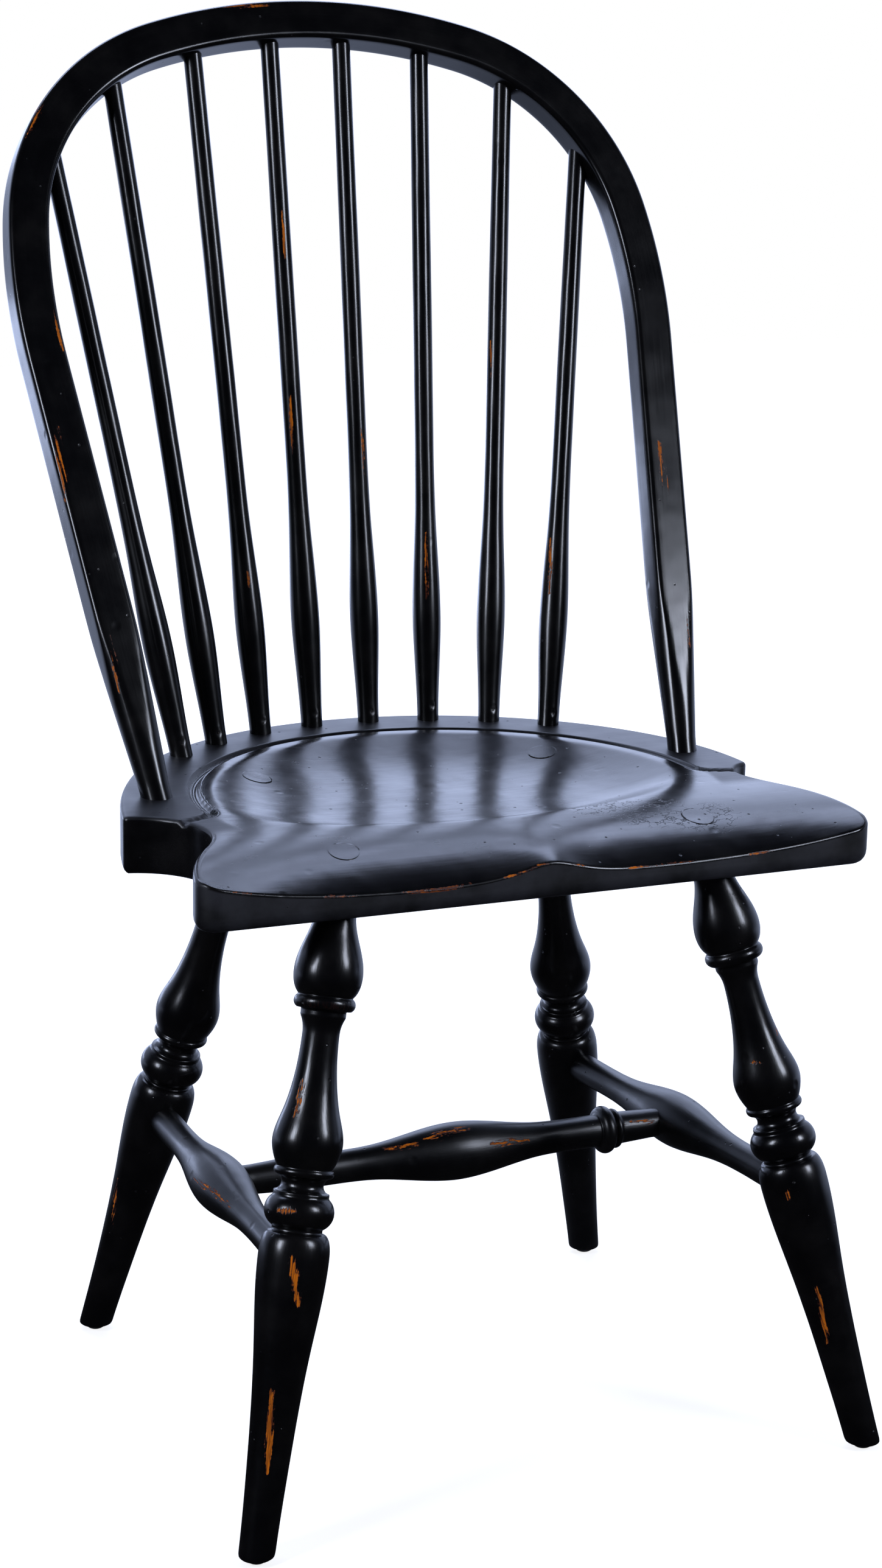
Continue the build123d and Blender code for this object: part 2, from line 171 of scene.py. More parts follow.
def tangent_arc(start: Point2, heading: Point2, end: Point2) -> tuple[list[Point2], Point2]:
    """Arc that leaves a point in a set direction and ends at another point.

    Args:
        start: First point of the arc.
        heading: Direction at the start.
        end: Last point of the arc.

    Returns:
        Samples without the first point, and the direction at the end.
    """
    chord = complex(*end) - complex(*start)
    ahead = complex(*heading) / abs(complex(*heading))
    half = np.angle(chord / ahead)
    bent = abs(half) > 1e-9
    length = abs(chord) * (half / math.sin(half) if bent else 1.0)
    shares = np.linspace(0, 1, max(4, int(length / SAMPLE_STEP)) + 1)[1:]
    reach = np.sin(half * shares) / math.sin(half) if bent else shares
    spots = complex(*start) + chord * reach * np.exp(1j * half * (shares - 1))
    out = ahead * np.exp(2j * half)
    return [(p.real, p.imag) for p in spots], (out.real, out.imag)


# Wear
@dataclass(frozen=True)
class Streak:
    """Place where the paint is rubbed through to the wood.

    Attributes:
        start: One end, in millimetres.
        end: Other end, in millimetres.
        width: Half width of the rubbed place, in millimetres.
        depth: How far it is rubbed, 1 shows bare wood.
        tapered: Whether it narrows to its ends.
    """

    start: Point3
    end: Point3
    width: float = 4.0
    depth: float = 1.0
    tapered: bool = True

    def over(self, spots: np.ndarray) -> np.ndarray:
        """Wear at points in millimetres, from 0 to the streak's depth.

        Args:
            spots: Points, one a row.

        Returns:
            Wear of each point.
        """
        a, b = np.array(self.start), np.array(self.end)
        along = b - a
        share = np.clip((spots - a) @ along / max(along @ along, 1e-9), 0, 1)
        away = np.linalg.norm(spots - a - share[:, None] * along, axis=1)
        taper = 0.5 + 0.5 * np.sin(math.pi * np.clip(share, 0.05, 0.95)) if self.tapered else 1.0
        return self.depth * np.clip(1 - away / (self.width * taper), 0, 1)


# Wiring of node trees
class Wiring:
    """Adds and links nodes of one tree."""

    def __init__(self, tree: bpy.types.NodeTree) -> None:
        """Start on an empty tree."""
        self.tree = tree
        tree.nodes.clear()

    def add(self, kind: str, inputs: dict | None = None, **settings: object) -> bpy.types.Node:
        """New node with its inputs linked or set.

        Args:
            kind: Type name of the node.
            inputs: Socket names or indexes with a socket to link or a value.
            settings: Properties of the node.

        Returns:
            The node.
        """
        node = self.tree.nodes.new(kind)
        for name, value in settings.items():
            setattr(node, name, value)
        for key, value in (inputs or {}).items():
            self.feed(node.inputs[key], value)
        return node

    def feed(self, socket: Socket, value: object) -> None:
        """Link a socket into an input, or set the input's value.

        Args:
            socket: Input to feed.
            value: Socket to link or value to set.
        """
        if isinstance(value, Socket):
            self.tree.links.new(value, socket)
        else:
            socket.default_value = value

    def math(self, operation: str, *values: object, clamp: bool = False) -> Socket:
        """Result of a math node.

        Args:
            operation: Name of the operation.
            values: Sockets or numbers.
            clamp: Whether the result is kept from 0 to 1.

        Returns:
            Output socket.
        """
        node = self.add("ShaderNodeMath", operation=operation, use_clamp=clamp)
        for socket, value in zip(node.inputs, values):
            self.feed(socket, value)
        return node.outputs[0]

    def vector(self, operation: str, *values: object) -> Socket:
        """Result of a vector math node.

        Args:
            operation: Name of the operation.
            values: Sockets or vectors.

        Returns:
            Vector output, or the value of a dot product or length.
        """
        node = self.add("ShaderNodeVectorMath", operation=operation)
        for socket, value in zip(node.inputs, values):
            self.feed(socket, value)
        return node.outputs["Value" if operation in ("DOT_PRODUCT", "LENGTH") else "Vector"]

    def rise(self, value: Socket, low: float, high: float, top: float = 1.0) -> Socket:
        """Smooth rise of a value from 0 at low to top at high.

        Args:
            value: Socket to map.
            low: Value where the rise starts.
            high: Value where the rise ends.
            top: Result at the end.

        Returns:
            Output socket.
        """
        node = self.add("ShaderNodeMapRange", interpolation_type="SMOOTHSTEP")
        for key, number in (("From Min", low), ("From Max", high), ("To Min", 0.0), ("To Max", top)):
            node.inputs[key].default_value = number
        self.feed(node.inputs["Value"], value)
        return node.outputs[0]

    def total(self, first: object, *terms: tuple[Socket, float]) -> Socket:
        """Sum of a start value and weighted sockets.

        Args:
            first: Socket or number to start from.
            terms: Sockets with their weights.

        Returns:
            Output socket.
        """
        for socket, weight in terms:
            first = self.math("MULTIPLY_ADD", socket, weight, first)
        return first

    def less(self, value: Socket) -> Socket:
        """One less a value."""
        return self.math("SUBTRACT", 1.0, value)

    def centred(self, value: Socket) -> Socket:
        """Noise moved to lie about 0."""
        return self.math("SUBTRACT", value, 0.5)

    def mark(self, name: str) -> Socket:
        """Number stored at the vertices of a mesh."""
        return self.add("ShaderNodeAttribute", attribute_name=name).outputs["Fac"]

    def noise(self, place: Socket, scale: float, detail: float = 3.0, rough: float = 0.55) -> Socket:
        """Noise about 0.5 at a place.

        Args:
            place: Coordinates.
            scale: Cycles to the metre.
            detail: Octaves.
            rough: Weight of the fine octaves.

        Returns:
            Output socket.
        """
        inputs = {"Vector": place, "Scale": scale, "Detail": detail, "Roughness": rough}
        return self.add("ShaderNodeTexNoise", inputs).outputs[0]

    def mix(self, share: Socket, first: object, second: object) -> Socket:
        """Mix of two colours.

        Args:
            share: Share of the second colour.
            first: Socket or colour.
            second: Socket or colour.

        Returns:
            Colour socket.
        """
        node = self.add("ShaderNodeMix", data_type="RGBA")
        self.feed(node.inputs[0], share)
        for index, colour in ((6, first), (7, second)):
            self.feed(node.inputs[index], colour if isinstance(colour, Socket) else (*colour, 1.0))
        return node.outputs[2]


# Finishes
@dataclass(frozen=True)
class RubbedPaint:
    """Satin black paint over a red-brown ground coat, rubbed through to the wood.

    Attributes:
        name: Name of the material.
        black: Colour of the paint.
        faded: Colour of the paint where it is thin.
        matt: Colour of the paint where it is dull.
        ground: Colour of the coat below.
        wood: Colour of the bare wood.
        gloss: Roughness of sound paint.
        grain_across: Fibres to the metre across the grain.
        grain_along: Fibres to the metre along the grain.
        relief: Strength of the grain, pits and cracks.
        dents: Depth of knocks in the paint.
        pits: Share of places for a pit that hold one.
        arris_wear: How readily the high places are rubbed.
    """

    name: str
    black: Colour = (0.0016, 0.0015, 0.0019)
    faded: Colour = (0.005, 0.0045, 0.0044)
    matt: Colour = (0.022, 0.022, 0.027)
    ground: Colour = (0.07, 0.015, 0.007)
    wood: Colour = (0.7, 0.17, 0.006)
    gloss: float = 0.23
    grain_across: float = 900.0
    grain_along: float = 26.0
    relief: float = 0.4
    dents: float = 1.5
    pits: float = 0.38
    arris_wear: float = 0.2

    def material(self) -> bpy.types.Material:
        """Build the paint's node tree.

        Returns:
            The material.
        """
        paint = bpy.data.materials.new(self.name)
        paint.use_nodes = True
        w = Wiring(paint.node_tree)
        place = w.add("ShaderNodeTexCoord").outputs["Object"]
        fibre = w.add("ShaderNodeAttribute", attribute_name="grain_at").outputs["Vector"]
        rub, crest, crackle, dull = (w.mark(name) for name in ("rub", "crest", "crackle", "dull"))
        across, along = self.grain_across, self.grain_along
        grain = w.noise(w.vector("MULTIPLY", fibre, (across, across, along)), 1.0, 4.0)
        coarse = (across * 0.8, across * 0.8, along * 2.0)
        ragged = w.noise(w.vector("MULTIPLY", fibre, coarse), 1.0, 4.0)
        mottle = w.noise(place, 34.0, 5.0)
        wave = w.noise(place, 48.0, 1.0)
        blotch = w.noise(place, 11.0, 2.0)
        fine = w.noise(place, 420.0, 2.0)

        torn = w.total(rub, (w.centred(ragged), 2.2), (w.centred(fine), 0.8))
        bare = w.math("MULTIPLY", w.rise(torn, 0.32, 0.74), w.rise(rub, 0.02, 0.16))
        high = w.total(crest, (w.centred(blotch), 2.6), (w.centred(ragged), 1.1))
        edge = w.rise(high, 1.25, 1.6, 0.75 * self.arris_wear)
        worn = w.math("MAXIMUM", bare, w.math("MULTIPLY", edge, w.rise(crest, 0.3, 0.7)))
        pit = self.pitted(w, place)
        knock = self.knocked(w, place)
        crack = self.cracked(w, place, w.math("MULTIPLY", crackle, mottle))

        colour = w.mix(w.rise(mottle, 0.35, 0.75), self.black, self.faded)
        colour = w.mix(w.math("MULTIPLY", dull, w.rise(mottle, 0.2, 0.7)), colour, self.matt)
        colour = w.mix(w.rise(worn, 0.05, 0.5), colour, self.ground)
        tone = w.math("MULTIPLY", w.rise(bare, 0.45, 1.0), w.rise(grain, 0.3, 0.62))
        colour = w.mix(tone, colour, self.wood)
        colour = w.mix(w.math("MULTIPLY", pit, 0.9), colour, self.black)
        uneven = ((w.centred(mottle), 0.16), (w.centred(grain), 0.08))
        rough = w.total(self.gloss, *uneven, (worn, 0.32), (pit, 0.3), (crack, 0.25), (dull, 0.36))
        raised = w.total(w.math("MULTIPLY", grain, 0.16), (wave, 1.1), (fine, 0.03))
        height = w.total(raised, (pit, -2.0), (knock, -self.dents), (crack, -0.5), (bare, -0.4))
        bump = w.add("ShaderNodeBump", {"Height": height, "Strength": self.relief, "Distance": 0.0007})

        shader = w.add("ShaderNodeBsdfPrincipled", {"Base Color": colour, "Roughness": rough})
        w.feed(shader.inputs["Specular IOR Level"], w.math("MULTIPLY_ADD", bare, -0.4, 0.5))
        w.feed(shader.inputs["Normal"], bump.outputs[0])
        w.add("ShaderNodeOutputMaterial", {"Surface": shader.outputs[0]})
        return paint

    def pitted(self, w: Wiring, place: Socket) -> Socket:
        """Small pits, each in a cell of its own.

        Args:
            w: Wiring of the paint.
            place: Coordinates.

        Returns:
            1 in a pit and 0 between pits.
        """
        cell = w.add("ShaderNodeTexVoronoi", {"Vector": place, "Scale": 130.0})
        lot = w.add("ShaderNodeSeparateColor", {0: cell.outputs["Color"]}).outputs
        size = w.math("MULTIPLY_ADD", lot[1], 0.13, 0.05)
        pit = w.less(w.rise(w.math("DIVIDE", cell.outputs["Distance"], size), 0.45, 1.0))
        return w.math("MULTIPLY", pit, w.rise(lot[0], 1.0 - self.pits, 1.02 - self.pits))

    def knocked(self, w: Wiring, place: Socket) -> Socket:
        """Wide shallow knocks in the paint.

        Args:
            w: Wiring of the paint.
            place: Coordinates.

        Returns:
            1 at the deepest place of a knock and 0 between knocks.
        """
        cell = w.add("ShaderNodeTexVoronoi", {"Vector": place, "Scale": 46.0})
        blow = w.add("ShaderNodeSeparateColor", {0: cell.outputs["Color"]}).outputs[1]
        knock = w.less(w.rise(cell.outputs["Distance"], 0.02, 0.2))
        return w.math("MULTIPLY", knock, w.rise(blow, 0.55, 0.95))

    def cracked(self, w: Wiring, place: Socket, where: Socket) -> Socket:
        """Net of cracks.

        Args:
            w: Wiring of the paint.
            place: Coordinates.
            where: How far the paint is cracked.

        Returns:
            1 in a crack and 0 between cracks.
        """
        bend = w.add("ShaderNodeTexNoise", {"Vector": place, "Scale": 160.0}).outputs["Color"]
        net = w.vector("MULTIPLY", place, (80.0, 130.0, 100.0))
        net = w.vector("ADD", net, w.vector("MULTIPLY", bend, (1.6, 1.6, 1.6)))
        cell = w.add("ShaderNodeTexVoronoi", {"Vector": net, "Scale": 1.0}, feature="DISTANCE_TO_EDGE")
        crack = w.less(w.rise(cell.outputs["Distance"], 0.01, 0.05))
        return w.math("MULTIPLY", crack, w.rise(where, 0.15, 0.42))


@dataclass(frozen=True)
class DullMetal:
    """Bare metal, dulled and scuffed.

    Attributes:
        name: Name of the material.
        bright: Colour of scuffed metal.
        dull: Colour of tarnished metal.
        rough: Middle roughness.
    """

    name: str
    bright: Colour = (0.5, 0.49, 0.47)
    dull: Colour = (0.22, 0.21, 0.2)
    rough: float = 0.38

    def material(self) -> bpy.types.Material:
        """Build the metal's node tree.

        Returns:
            The material.
        """
        metal = bpy.data.materials.new(self.name)
        metal.use_nodes = True
        w = Wiring(metal.node_tree)
        place = w.add("ShaderNodeTexCoord").outputs["Object"]
        stain = w.noise(place, 260.0, 4.0)
        scuff = w.noise(w.vector("MULTIPLY", place, (2400.0, 500.0, 500.0)), 1.0, 2.0)
        colour = w.mix(w.rise(stain, 0.4, 0.62), self.bright, self.dull)
        rough = w.total(self.rough, (w.centred(scuff), 0.3))
        bump = w.add("ShaderNodeBump", {"Height": scuff, "Strength": 0.2, "Distance": 0.0002})
        shader = w.add("ShaderNodeBsdfPrincipled", {"Base Color": colour, "Roughness": rough})
        shader.inputs["Metallic"].default_value = 1.0
        w.feed(shader.inputs["Normal"], bump.outputs[0])
        w.add("ShaderNodeOutputMaterial", {"Surface": shader.outputs[0]})
        return metal


# Meshes and attributes
def spots_of(mesh: bpy.types.Mesh) -> np.ndarray:
    """Vertices of a mesh in millimetres.

    Args:
        mesh: Mesh to read.

    Returns:
        Points, one a row.
    """
    flat = np.empty(len(mesh.vertices) * 3)
    mesh.vertices.foreach_get("co", flat)
    return flat.reshape(-1, 3) / MM


def move_to(mesh: bpy.types.Mesh, spots: np.ndarray) -> None:
    """Put the vertices of a mesh at points in millimetres."""
    mesh.vertices.foreach_set("co", (spots * MM).ravel())
    mesh.update()


def store(mesh: bpy.types.Mesh, name: str, values: np.ndarray) -> None:
    """Store a number or a vector at each vertex.

    Args:
        mesh: Mesh to mark.
        name: Name of the attribute.
        values: One number or one row of three a vertex.
    """
    vectors = values.ndim == 2
    kind = "FLOAT_VECTOR" if vectors else "FLOAT"
    layer = mesh.attributes.get(name) or mesh.attributes.new(name, kind, "POINT")
    layer.data.foreach_set("vector" if vectors else "value", values.astype(np.float32).ravel())


def rub_in(mesh: bpy.types.Mesh, streaks: tuple[Streak, ...]) -> None:
    """Mark the rubbed places of a mesh.

    Args:
        mesh: Mesh to mark.
        streaks: Rubbed places.
    """
    spots = spots_of(mesh)
    wear = np.zeros(len(spots))
    for streak in streaks:
        wear = np.maximum(wear, streak.over(spots))
    store(mesh, "rub", wear)


def settle(name: str, mesh: bpy.types.Mesh, nodes: tuple[str, ...] = ()) -> bpy.types.Object:
    """Place a finished mesh in the scene as a piece of the chair.

    Args:
        name: Name of the piece.
        mesh: Finished mesh, in place.
        nodes: Nodes of the frame that the piece stands for.

    Returns:
        The piece.
    """
    mesh.name = name
    piece = bpy.data.objects.new(name, mesh)
    bpy.context.scene.collection.objects.link(piece)
    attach(piece, BODY)
    if nodes:
        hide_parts(*nodes)
    LOG.info("piece %s: %d faces", name, len(mesh.polygons))
    return piece


def skin(rings: list[np.ndarray]) -> tuple[np.ndarray, list[tuple[int, ...]]]:
    """Faces between rings of points that follow each other.

    Args:
        rings: Points of each ring, all rings with one count.

    Returns:
        Points and faces.
    """
    count = len(rings[0])
    faces: list[tuple[int, ...]] = []
    for row in range(len(rings) - 1):
        low, high = row * count, (row + 1) * count
        for i in range(count):
            j = (i + 1) % count
            faces.append((low + i, low + j, high + j, high + i))
    return np.concatenate(rings), faces


def new_mesh(
    name: str, spots: np.ndarray, faces: list[tuple[int, ...]], paint: bpy.types.Material
) -> bpy.types.Mesh:
    """Smooth mesh from points in millimetres.

    Args:
        name: Name of the mesh.
        spots: Points in millimetres.
        faces: Corners of each face.
        paint: Material of the faces.

    Returns:
        The mesh.
    """
    mesh = bpy.data.meshes.new(name)
    mesh.from_pydata((spots * MM).tolist(), [], faces)
    mesh.shade_smooth()
    mesh.materials.append(paint)
    mesh.validate()
    return mesh


# Geometry Nodes of a turned member
class LatheTree:
    """Turns an outline about an axis, a little out of round as hand turning is."""

    INPUTS = (
        ("Facets", "NodeSocketInt"),
        ("Stations", "NodeSocketInt"),
        ("Origin", "NodeSocketVector"),
        ("Across", "NodeSocketVector"),
        ("Beside", "NodeSocketVector"),
        ("Along", "NodeSocketVector"),
        ("Level Foot", "NodeSocketFloat"),
        ("Wobble", "NodeSocketFloat"),
        ("Crest Reach", "NodeSocketFloat"),
        ("Seed", "NodeSocketFloat"),
        ("Material", "NodeSocketMaterial"),
    )

    def __init__(self) -> None:
        """Build the tree."""
        self.tree = bpy.data.node_groups.new("turned_member", "GeometryNodeTree")
        face = self.tree.interface
        face.new_socket("Geometry", in_out="INPUT", socket_type="NodeSocketGeometry")
        face.new_socket("Geometry", in_out="OUTPUT", socket_type="NodeSocketGeometry")
        self.keys = {
            name: face.new_socket(name, in_out="INPUT", socket_type=kind).identifier
            for name, kind in self.INPUTS
        }
        self.wire()

    def radius_at(self, w: Wiring, curve: Socket, factor: Socket) -> tuple[Socket, Socket]:
        """Radius and height of the outline at a share of its length.

        Args:
            w: Wiring of the tree.
            curve: Outline.
            factor: Share of its length.

        Returns:
            Radius and height.
        """
        sample = w.add("GeometryNodeSampleCurve", {"Curves": curve}, mode="FACTOR")
        w.feed(sample.inputs["Factor"], factor)
        parts = w.add("ShaderNodeSeparateXYZ", {0: sample.outputs["Position"]})
        return parts.outputs["X"], parts.outputs["Z"]

    def wire(self) -> None:
        """Add and link the nodes."""
        w = Wiring(self.tree)
        given = w.add("NodeGroupInput").outputs
        curve = w.add("GeometryNodeMeshToCurve", {"Mesh": given["Geometry"]}).outputs[0]
        grid = w.add("GeometryNodeMeshGrid", {"Size X": 1.0, "Size Y": 1.0})
        w.feed(grid.inputs["Vertices X"], w.math("ADD", given["Facets"], 1.0))
        w.feed(grid.inputs["Vertices Y"], given["Stations"])
        spot = w.add("ShaderNodeSeparateXYZ", {0: w.add("GeometryNodeInputPosition").outputs[0]})
        u = w.math("ADD", spot.outputs["X"], 0.5)
        v = w.math("ADD", spot.outputs["Y"], 0.5, clamp=True)
        radius, height = self.radius_at(w, curve, v)
        below, _ = self.radius_at(w, curve, w.math("SUBTRACT", v, given["Crest Reach"], clamp=True))
        above, _ = self.radius_at(w, curve, w.math("ADD", v, given["Crest Reach"], clamp=True))
        crest = w.math("SUBTRACT", radius, w.math("MULTIPLY", w.math("ADD", below, above), 0.5))
        crest = w.math("DIVIDE", crest, 1.2 * MM, clamp=True)
        angle = w.math("MULTIPLY", u, 2 * math.pi)
        cosine, sine = w.math("COSINE", angle), w.math("SINE", angle)
        around = w.add("ShaderNodeCombineXYZ", {0: cosine, 1: sine})
        w.feed(around.inputs[2], w.math("MULTIPLY_ADD", height, 14.0, given["Seed"]))
        uneven = w.centred(w.noise(around.outputs[0], 0.9, 2.0))
        uneven = w.math("MULTIPLY", uneven, given["Wobble"])
        uneven = w.math("MULTIPLY", uneven, w.rise(radius, 0.0, 6 * MM))
        shown = w.math("ADD", radius, uneven)
        east, north = w.math("MULTIPLY", shown, cosine), w.math("MULTIPLY", shown, sine)

        offset = w.add("ShaderNodeVectorMath", {0: given["Across"]}, operation="SCALE")
        w.feed(offset.inputs["Scale"], east)
        beside = w.add("ShaderNodeVectorMath", {0: given["Beside"]}, operation="SCALE")
        w.feed(beside.inputs["Scale"], north)
        offset = w.vector("ADD", offset.outputs[0], beside.outputs[0])
        rise = w.add("ShaderNodeSeparateXYZ", {0: offset}).outputs["Z"]
        slope = w.add("ShaderNodeSeparateXYZ", {0: given["Along"]}).outputs["Z"]
        level = w.less(w.rise(height, 12 * MM, 60 * MM))
        level = w.math("MULTIPLY", level, given["Level Foot"])
        level = w.math("MULTIPLY", level, w.math("DIVIDE", rise, slope))
        climb = w.add("ShaderNodeVectorMath", {0: given["Along"]}, operation="SCALE")
        w.feed(climb.inputs["Scale"], w.math("SUBTRACT", height, level))
        place = w.vector("ADD", w.vector("ADD", given["Origin"], offset), climb.outputs[0])

        fibre = w.add("ShaderNodeCombineXYZ", {0: east, 1: north})
        w.feed(fibre.inputs[2], w.math("ADD", height, given["Seed"]))
        sheet = w.add("ShaderNodeCombineXYZ", {0: u, 1: v})
        mesh = grid.outputs["Mesh"]
        for name, kind, domain, value in (
            ("grain_at", "FLOAT_VECTOR", "POINT", fibre.outputs[0]),
            ("crest", "FLOAT", "POINT", crest),
            ("UVMap", "FLOAT2", "CORNER", sheet.outputs[0]),
        ):
            keep = w.add("GeometryNodeStoreNamedAttribute", data_type=kind, domain=domain)
            w.feed(keep.inputs["Geometry"], mesh)
            w.feed(keep.inputs["Name"], name)
            w.feed(keep.inputs["Value"], value)
            mesh = keep.outputs[0]
        mesh = w.add("GeometryNodeSetPosition", {"Geometry": mesh, "Position": place}).outputs[0]
        mesh = w.add("GeometryNodeMergeByDistance", {"Geometry": mesh, "Distance": 0.01 * MM}).outputs[0]
        mesh = w.add("GeometryNodeSetShadeSmooth", {"Geometry": mesh}).outputs[0]
        mesh = w.add("GeometryNodeRealizeInstances", {"Geometry": mesh}).outputs[0]
        mesh = w.add("GeometryNodeSetMaterial", {"Geometry": mesh, "Material": given["Material"]}).outputs[0]
        w.add("NodeGroupOutput", {"Geometry": mesh})

    def turn(self, name: str, outline: list[Point2], values: dict[str, object]) -> bpy.types.Mesh:
        """Turn an outline to a plain mesh.

        Args:
            name: Name of the mesh.
            outline: Radius and height in millimetres, from the foot up.
            values: Inputs of the tree by name.

        Returns:
            The mesh, in place.
        """
        line = bpy.data.meshes.new(name + "_outline")
        points = [(r * MM, 0.0, h * MM) for r, h in outline]
        line.from_pydata(points, [(i, i + 1) for i in range(len(points) - 1)], [])
        holder = bpy.data.objects.new(name + "_outline", line)
        bpy.context.scene.collection.objects.link(holder)
        mesh = made_by(holder, self.tree, {self.keys[k]: v for k, v in values.items()})
        bpy.data.objects.remove(holder)
        bpy.data.meshes.remove(line)
        return mesh


def made_by(holder: bpy.types.Object, tree: bpy.types.NodeTree, values: dict[str, object]) -> bpy.types.Mesh:
    """Plain mesh that a node tree makes from an object.

    Args:
        holder: Object that carries the tree for a moment.
        tree: Geometry Nodes tree.
        values: Input values by socket identifier.

    Returns:
        The mesh.
    """
    work = holder.modifiers.new("work", "NODES")
    work.node_group = tree
    for key, value in values.items():
        work[key] = value
    bpy.context.view_layer.update()
    graph = bpy.context.evaluated_depsgraph_get()
    mesh = bpy.data.meshes.new_from_object(holder.evaluated_get(graph), depsgraph=graph)
    holder.modifiers.remove(work)
    return mesh


@dataclass
class Turning:
    """Turned member between two points.

    Attributes:
        name: Name of the piece, and of the node that it stands for.
        low: Start of the axis, in millimetres.
        high: Point further along the axis.
        outline: Radius and height along the axis, in millimetres.
        facets: Faces round the axis.
        stations: Rings along the outline.
        seed: Shift that makes each member's grain its own.
        level_foot: Whether the foot is cut level with the floor.
        wobble: How far it is out of round, in millimetres.
        streaks: Rubbed places.
        crest_reach: Distance over which high places stand out, in millimetres.
    """

    name: str
    low: np.ndarray
    high: np.ndarray
    outline: list[Point2]
    facets: int
    stations: int
    seed: float
    level_foot: bool = False
    wobble: float = 0.5
    streaks: tuple[Streak, ...] = ()
    crest_reach: float = 4.0

    def axes(self) -> tuple[np.ndarray, np.ndarray, np.ndarray]:
        """Directions of the member.

        Returns:
            Directions across, beside and along the axis.
        """
        along = unit(self.high - self.low)
        guide = np.array((1.0, 0.0, 0.0)) if abs(along[0]) < 0.8 else np.array((0.0, 0.0, 1.0))
        across = unit(guide - along * (guide @ along))
        return across, np.cross(along, across), along

    def build(self, lathe: LatheTree, paint: bpy.types.Material) -> bpy.types.Mesh:
        """Turn the member.

        Args:
            lathe: Tree that turns outlines.
            paint: Material.

        Returns:
            The mesh, in place, with its wear marked.
        """
        across, beside, along = self.axes()
        steps = np.linalg.norm(np.diff(np.array(self.outline), axis=0), axis=1)
        values = {
            "Facets": self.facets,
            "Stations": self.stations,
            "Origin": [float(c) * MM for c in self.low],
            "Across": [float(c) for c in across],
            "Beside": [float(c) for c in beside],
            "Along": [float(c) for c in along],
            "Level Foot": 1.0 if self.level_foot else 0.0,
            "Wobble": self.wobble * MM,
            "Crest Reach": float(self.crest_reach / steps.sum()),
            "Seed": self.seed,
            "Material": paint,
        }
        mesh = lathe.turn(self.name, self.outline, values)
        rub_in(mesh, self.streaks)
        return mesh


